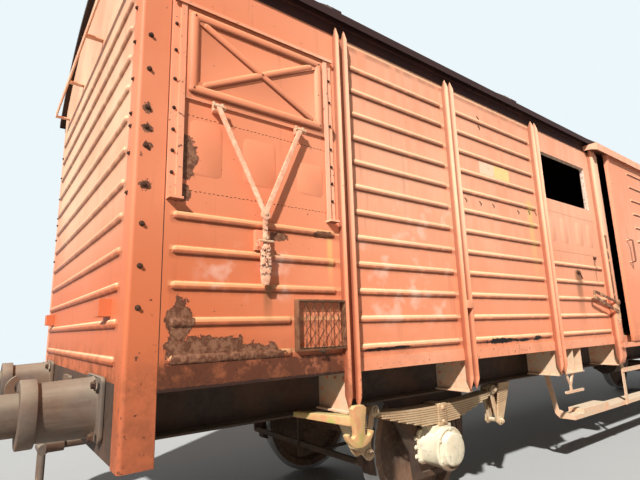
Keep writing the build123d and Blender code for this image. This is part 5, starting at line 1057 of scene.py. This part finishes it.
bm = bmesh.new()
NET_STEP, NET_FRONT, NET_SLOPE, NET_GAP = 0.058, -1.3715, 1.25, 0.01
left, right = LABEL_BOX[0] + NET_GAP, LABEL_BOX[1] - NET_GAP
bottom, top = LABEL_BOX[2] + NET_GAP, LABEL_BOX[3] - NET_GAP
reach = (top - bottom) / NET_SLOPE
for slant in (-1, 1):
    position, count = left - reach, 0
    while position < right:
        low_x, high_x = position, position + reach
        first, last = max(low_x, left), min(high_x, right)
        low_z = bottom + (first - low_x) * NET_SLOPE
        high_z = bottom + (last - low_x) * NET_SLOPE
        if last - first > 0.01:
            if slant < 0:
                first, last = left + right - first, left + right - last
            wire(bm, (first, NET_FRONT, low_z), (last, NET_FRONT, high_z), count * 1.3 + slant)
        position += NET_STEP
        count += 1
for height in (bottom + 0.004, top - 0.004):
    rod(bm, (left, NET_FRONT, height), (right, NET_FRONT, height), 0.003, 8)
bolt(bm, (-5.345, -1.37, 1.3), NEAR, 0.01, 0.01)
bar(bm, (-5.385, -1.3765, 1.294), (-5.335, -1.3715, 1.306), 0.0015)
turned_copy(bm)
piece(bm, "label_netting", black_iron)

# %% [markdown]
# ## Pressings of the shutters
# The frame and the cross that stiffen a shutter are half-round ridges pressed out of its sheet. They are made like
# the bead crowns, a little wider, and their round ends meet at the corners.

# %% Ridges of the shutters
SHUTTER_BOTTOM, SHUTTER_TOP, SHEET_FACE, RIDGE_INSET = 2.595, 3.125, 1.3435, 0.056
RIDGE_HALF, RIDGE_PROUD, RIDGE_OVERLAP = 0.0275, 0.0215, 0.027
CROSS_HALF, CROSS_PROUD, CROSS_IN, CROSS_UP = 0.0225, 0.0175, 0.045, 0.026

for name, (centre, width, face) in SHUTTERS.items():
    bm = bmesh.new()
    low_x, high_x = centre - width / 2 + RIDGE_INSET, centre + width / 2 - RIDGE_INSET
    low_z, high_z = SHUTTER_BOTTOM + RIDGE_INSET, SHUTTER_TOP - RIDGE_INSET
    corners = [(low_x, low_z), (high_x, low_z), (high_x, high_z), (low_x, high_z)]
    for (start_x, start_z), (end_x, end_z) in zip(corners, corners[1:] + corners[:1]):
        start = Vector((start_x, face * SHEET_FACE, start_z))
        end = Vector((end_x, face * SHEET_FACE, end_z))
        overlap = (end - start).normalized() * RIDGE_OVERLAP
        crown(bm, start - overlap, end + overlap, (0, face, 0), RIDGE_HALF, RIDGE_PROUD)
    for start_z, end_z in ((low_z + CROSS_UP, high_z - CROSS_UP), (high_z - CROSS_UP, low_z + CROSS_UP)):
        start = (low_x + CROSS_IN, face * SHEET_FACE, start_z)
        end = (high_x - CROSS_IN, face * SHEET_FACE, end_z)
        crown(bm, start, end, (0, face, 0), CROSS_HALF, CROSS_PROUD)
    turned_outward(bm)
    piece(bm, f"{name}_ridges", shutter_paint, name, smooth=True)

# %% [markdown]
# ## Fittings of the shutters
# Each pair of rods hangs from two lugs with a pin and a split ring, and meets at a catch with a pin, a washer and a
# small ring. These move up and down with their shutter.


# %% Lug pins and catch pins
def ring(bm, centre, radius, wire_radius, axis):
    """A closed ring of round wire, spun round an axis."""
    before = set(bm.verts)
    place = Matrix.Translation((radius, 0, 0)) @ Matrix.Rotation(pi / 2, 4, "X")
    hoop = bmesh.ops.create_circle(bm, segments=8, radius=wire_radius, matrix=place)["verts"]
    hoop += list({edge for vert in hoop for edge in vert.link_edges})
    bmesh.ops.spin(bm, geom=hoop, cent=(0, 0, 0), axis=(0, 0, 1), angle=2 * pi, steps=16, use_merge=True)
    made = [vert for vert in bm.verts if vert not in before]
    bmesh.ops.transform(bm, matrix=facing(centre, axis), verts=made)
    bmesh.ops.recalc_face_normals(bm, faces=list({face for vert in made for face in vert.link_faces}))


PIN_FACE, CATCH_FACE = 1.3775, 1.383

for name, (centre, width, face) in SHUTTERS.items():
    bm = bmesh.new()
    for share in (-0.3, 0.26):
        x = centre + share * width * -face
        rod(bm, (x - 0.03, face * PIN_FACE, 2.578), (x + 0.03, face * PIN_FACE, 2.578), 0.0075)
        for offset in (-0.024, 0.024):
            bolt(bm, (x + offset, face * 1.372, 2.592), (0, face, 0), 0.0065, 0.006)
        ring(bm, (x + 0.033, face * PIN_FACE, 2.571), 0.011, 0.0016, (1, 0, 0))
    bolt(bm, (centre, face * CATCH_FACE, 2.035), (0, face, 0), 0.012, 0.01)
    bolt(bm, (centre, face * CATCH_FACE, 1.905), (0, face, 0), 0.014, 0.012)
    rod(bm, (centre - 0.045, face * 1.3875, 1.885), (centre + 0.045, face * 1.3875, 1.885), 0.006)
    ring(bm, (centre - 0.045, face * 1.379, 1.872), 0.014, 0.002, (1, 0.3, 0))
    ring(bm, (centre + 0.008, face * 1.3945, 1.845), 0.013, 0.002, (0, 1, 0.1))
    piece(bm, f"{name}_pins", pale_rod, name, smooth=True)

# %% [markdown]
# ## Axle boxes, buckles and links
# The journal box has a domed cover held by six bolts, a rim where the cover joins, and lugs on its back plate. The
# buckle of the spring is closed by a wedge bolt. The links end in heavy nuts, which look like beads on a string
# under their crust of dust.

# %% Details of the running gear
BUCKLE_FACE = 1.074
bm = bmesh.new()
ball(bm, Matrix.Translation((-AXLE_X, -1.1565, AXLE_Z)), (0.116, 0.02, 0.116), 32, 16)
ring(bm, (-AXLE_X, -1.1235, AXLE_Z), 0.146, 0.0055, NEAR)
for index in range(6):
    angle = pi / 6 + index * pi / 3
    spot = (-AXLE_X + 0.136 * cos(angle), -1.123, AXLE_Z + 0.136 * sin(angle))
    bolt(bm, spot, NEAR, 0.01, 0.012)
for side in (-1, 1):
    for height in (0.455, 0.52, 0.585):
        bolt(bm, (-AXLE_X + side * 0.16, -0.9255, height), NEAR, 0.012, 0.014)
copied_to_corners(bm)
piece(bm, "axle_box_covers", box_casting, smooth=True)

bm = bmesh.new()
bolt(bm, (-AXLE_X, -BUCKLE_FACE, 0.805), NEAR, 0.014, 0.01)
bolt(bm, (-AXLE_X, -BUCKLE_FACE, 0.705), NEAR, 0.012, 0.01)
for side in (-1, 1):
    for x, height in ((0.765, 0.605), (0.7, 0.868)):
        for y, radius, head in ((-1.07, 0.026, 0.018), (-1.088, 0.015, 0.01)):
            bolt(bm, (-AXLE_X + side * x, y, height), NEAR, radius, head)
copied_to_corners(bm)
piece(bm, "spring_nuts", dusty_steel)

# %% End
print("scene ready")
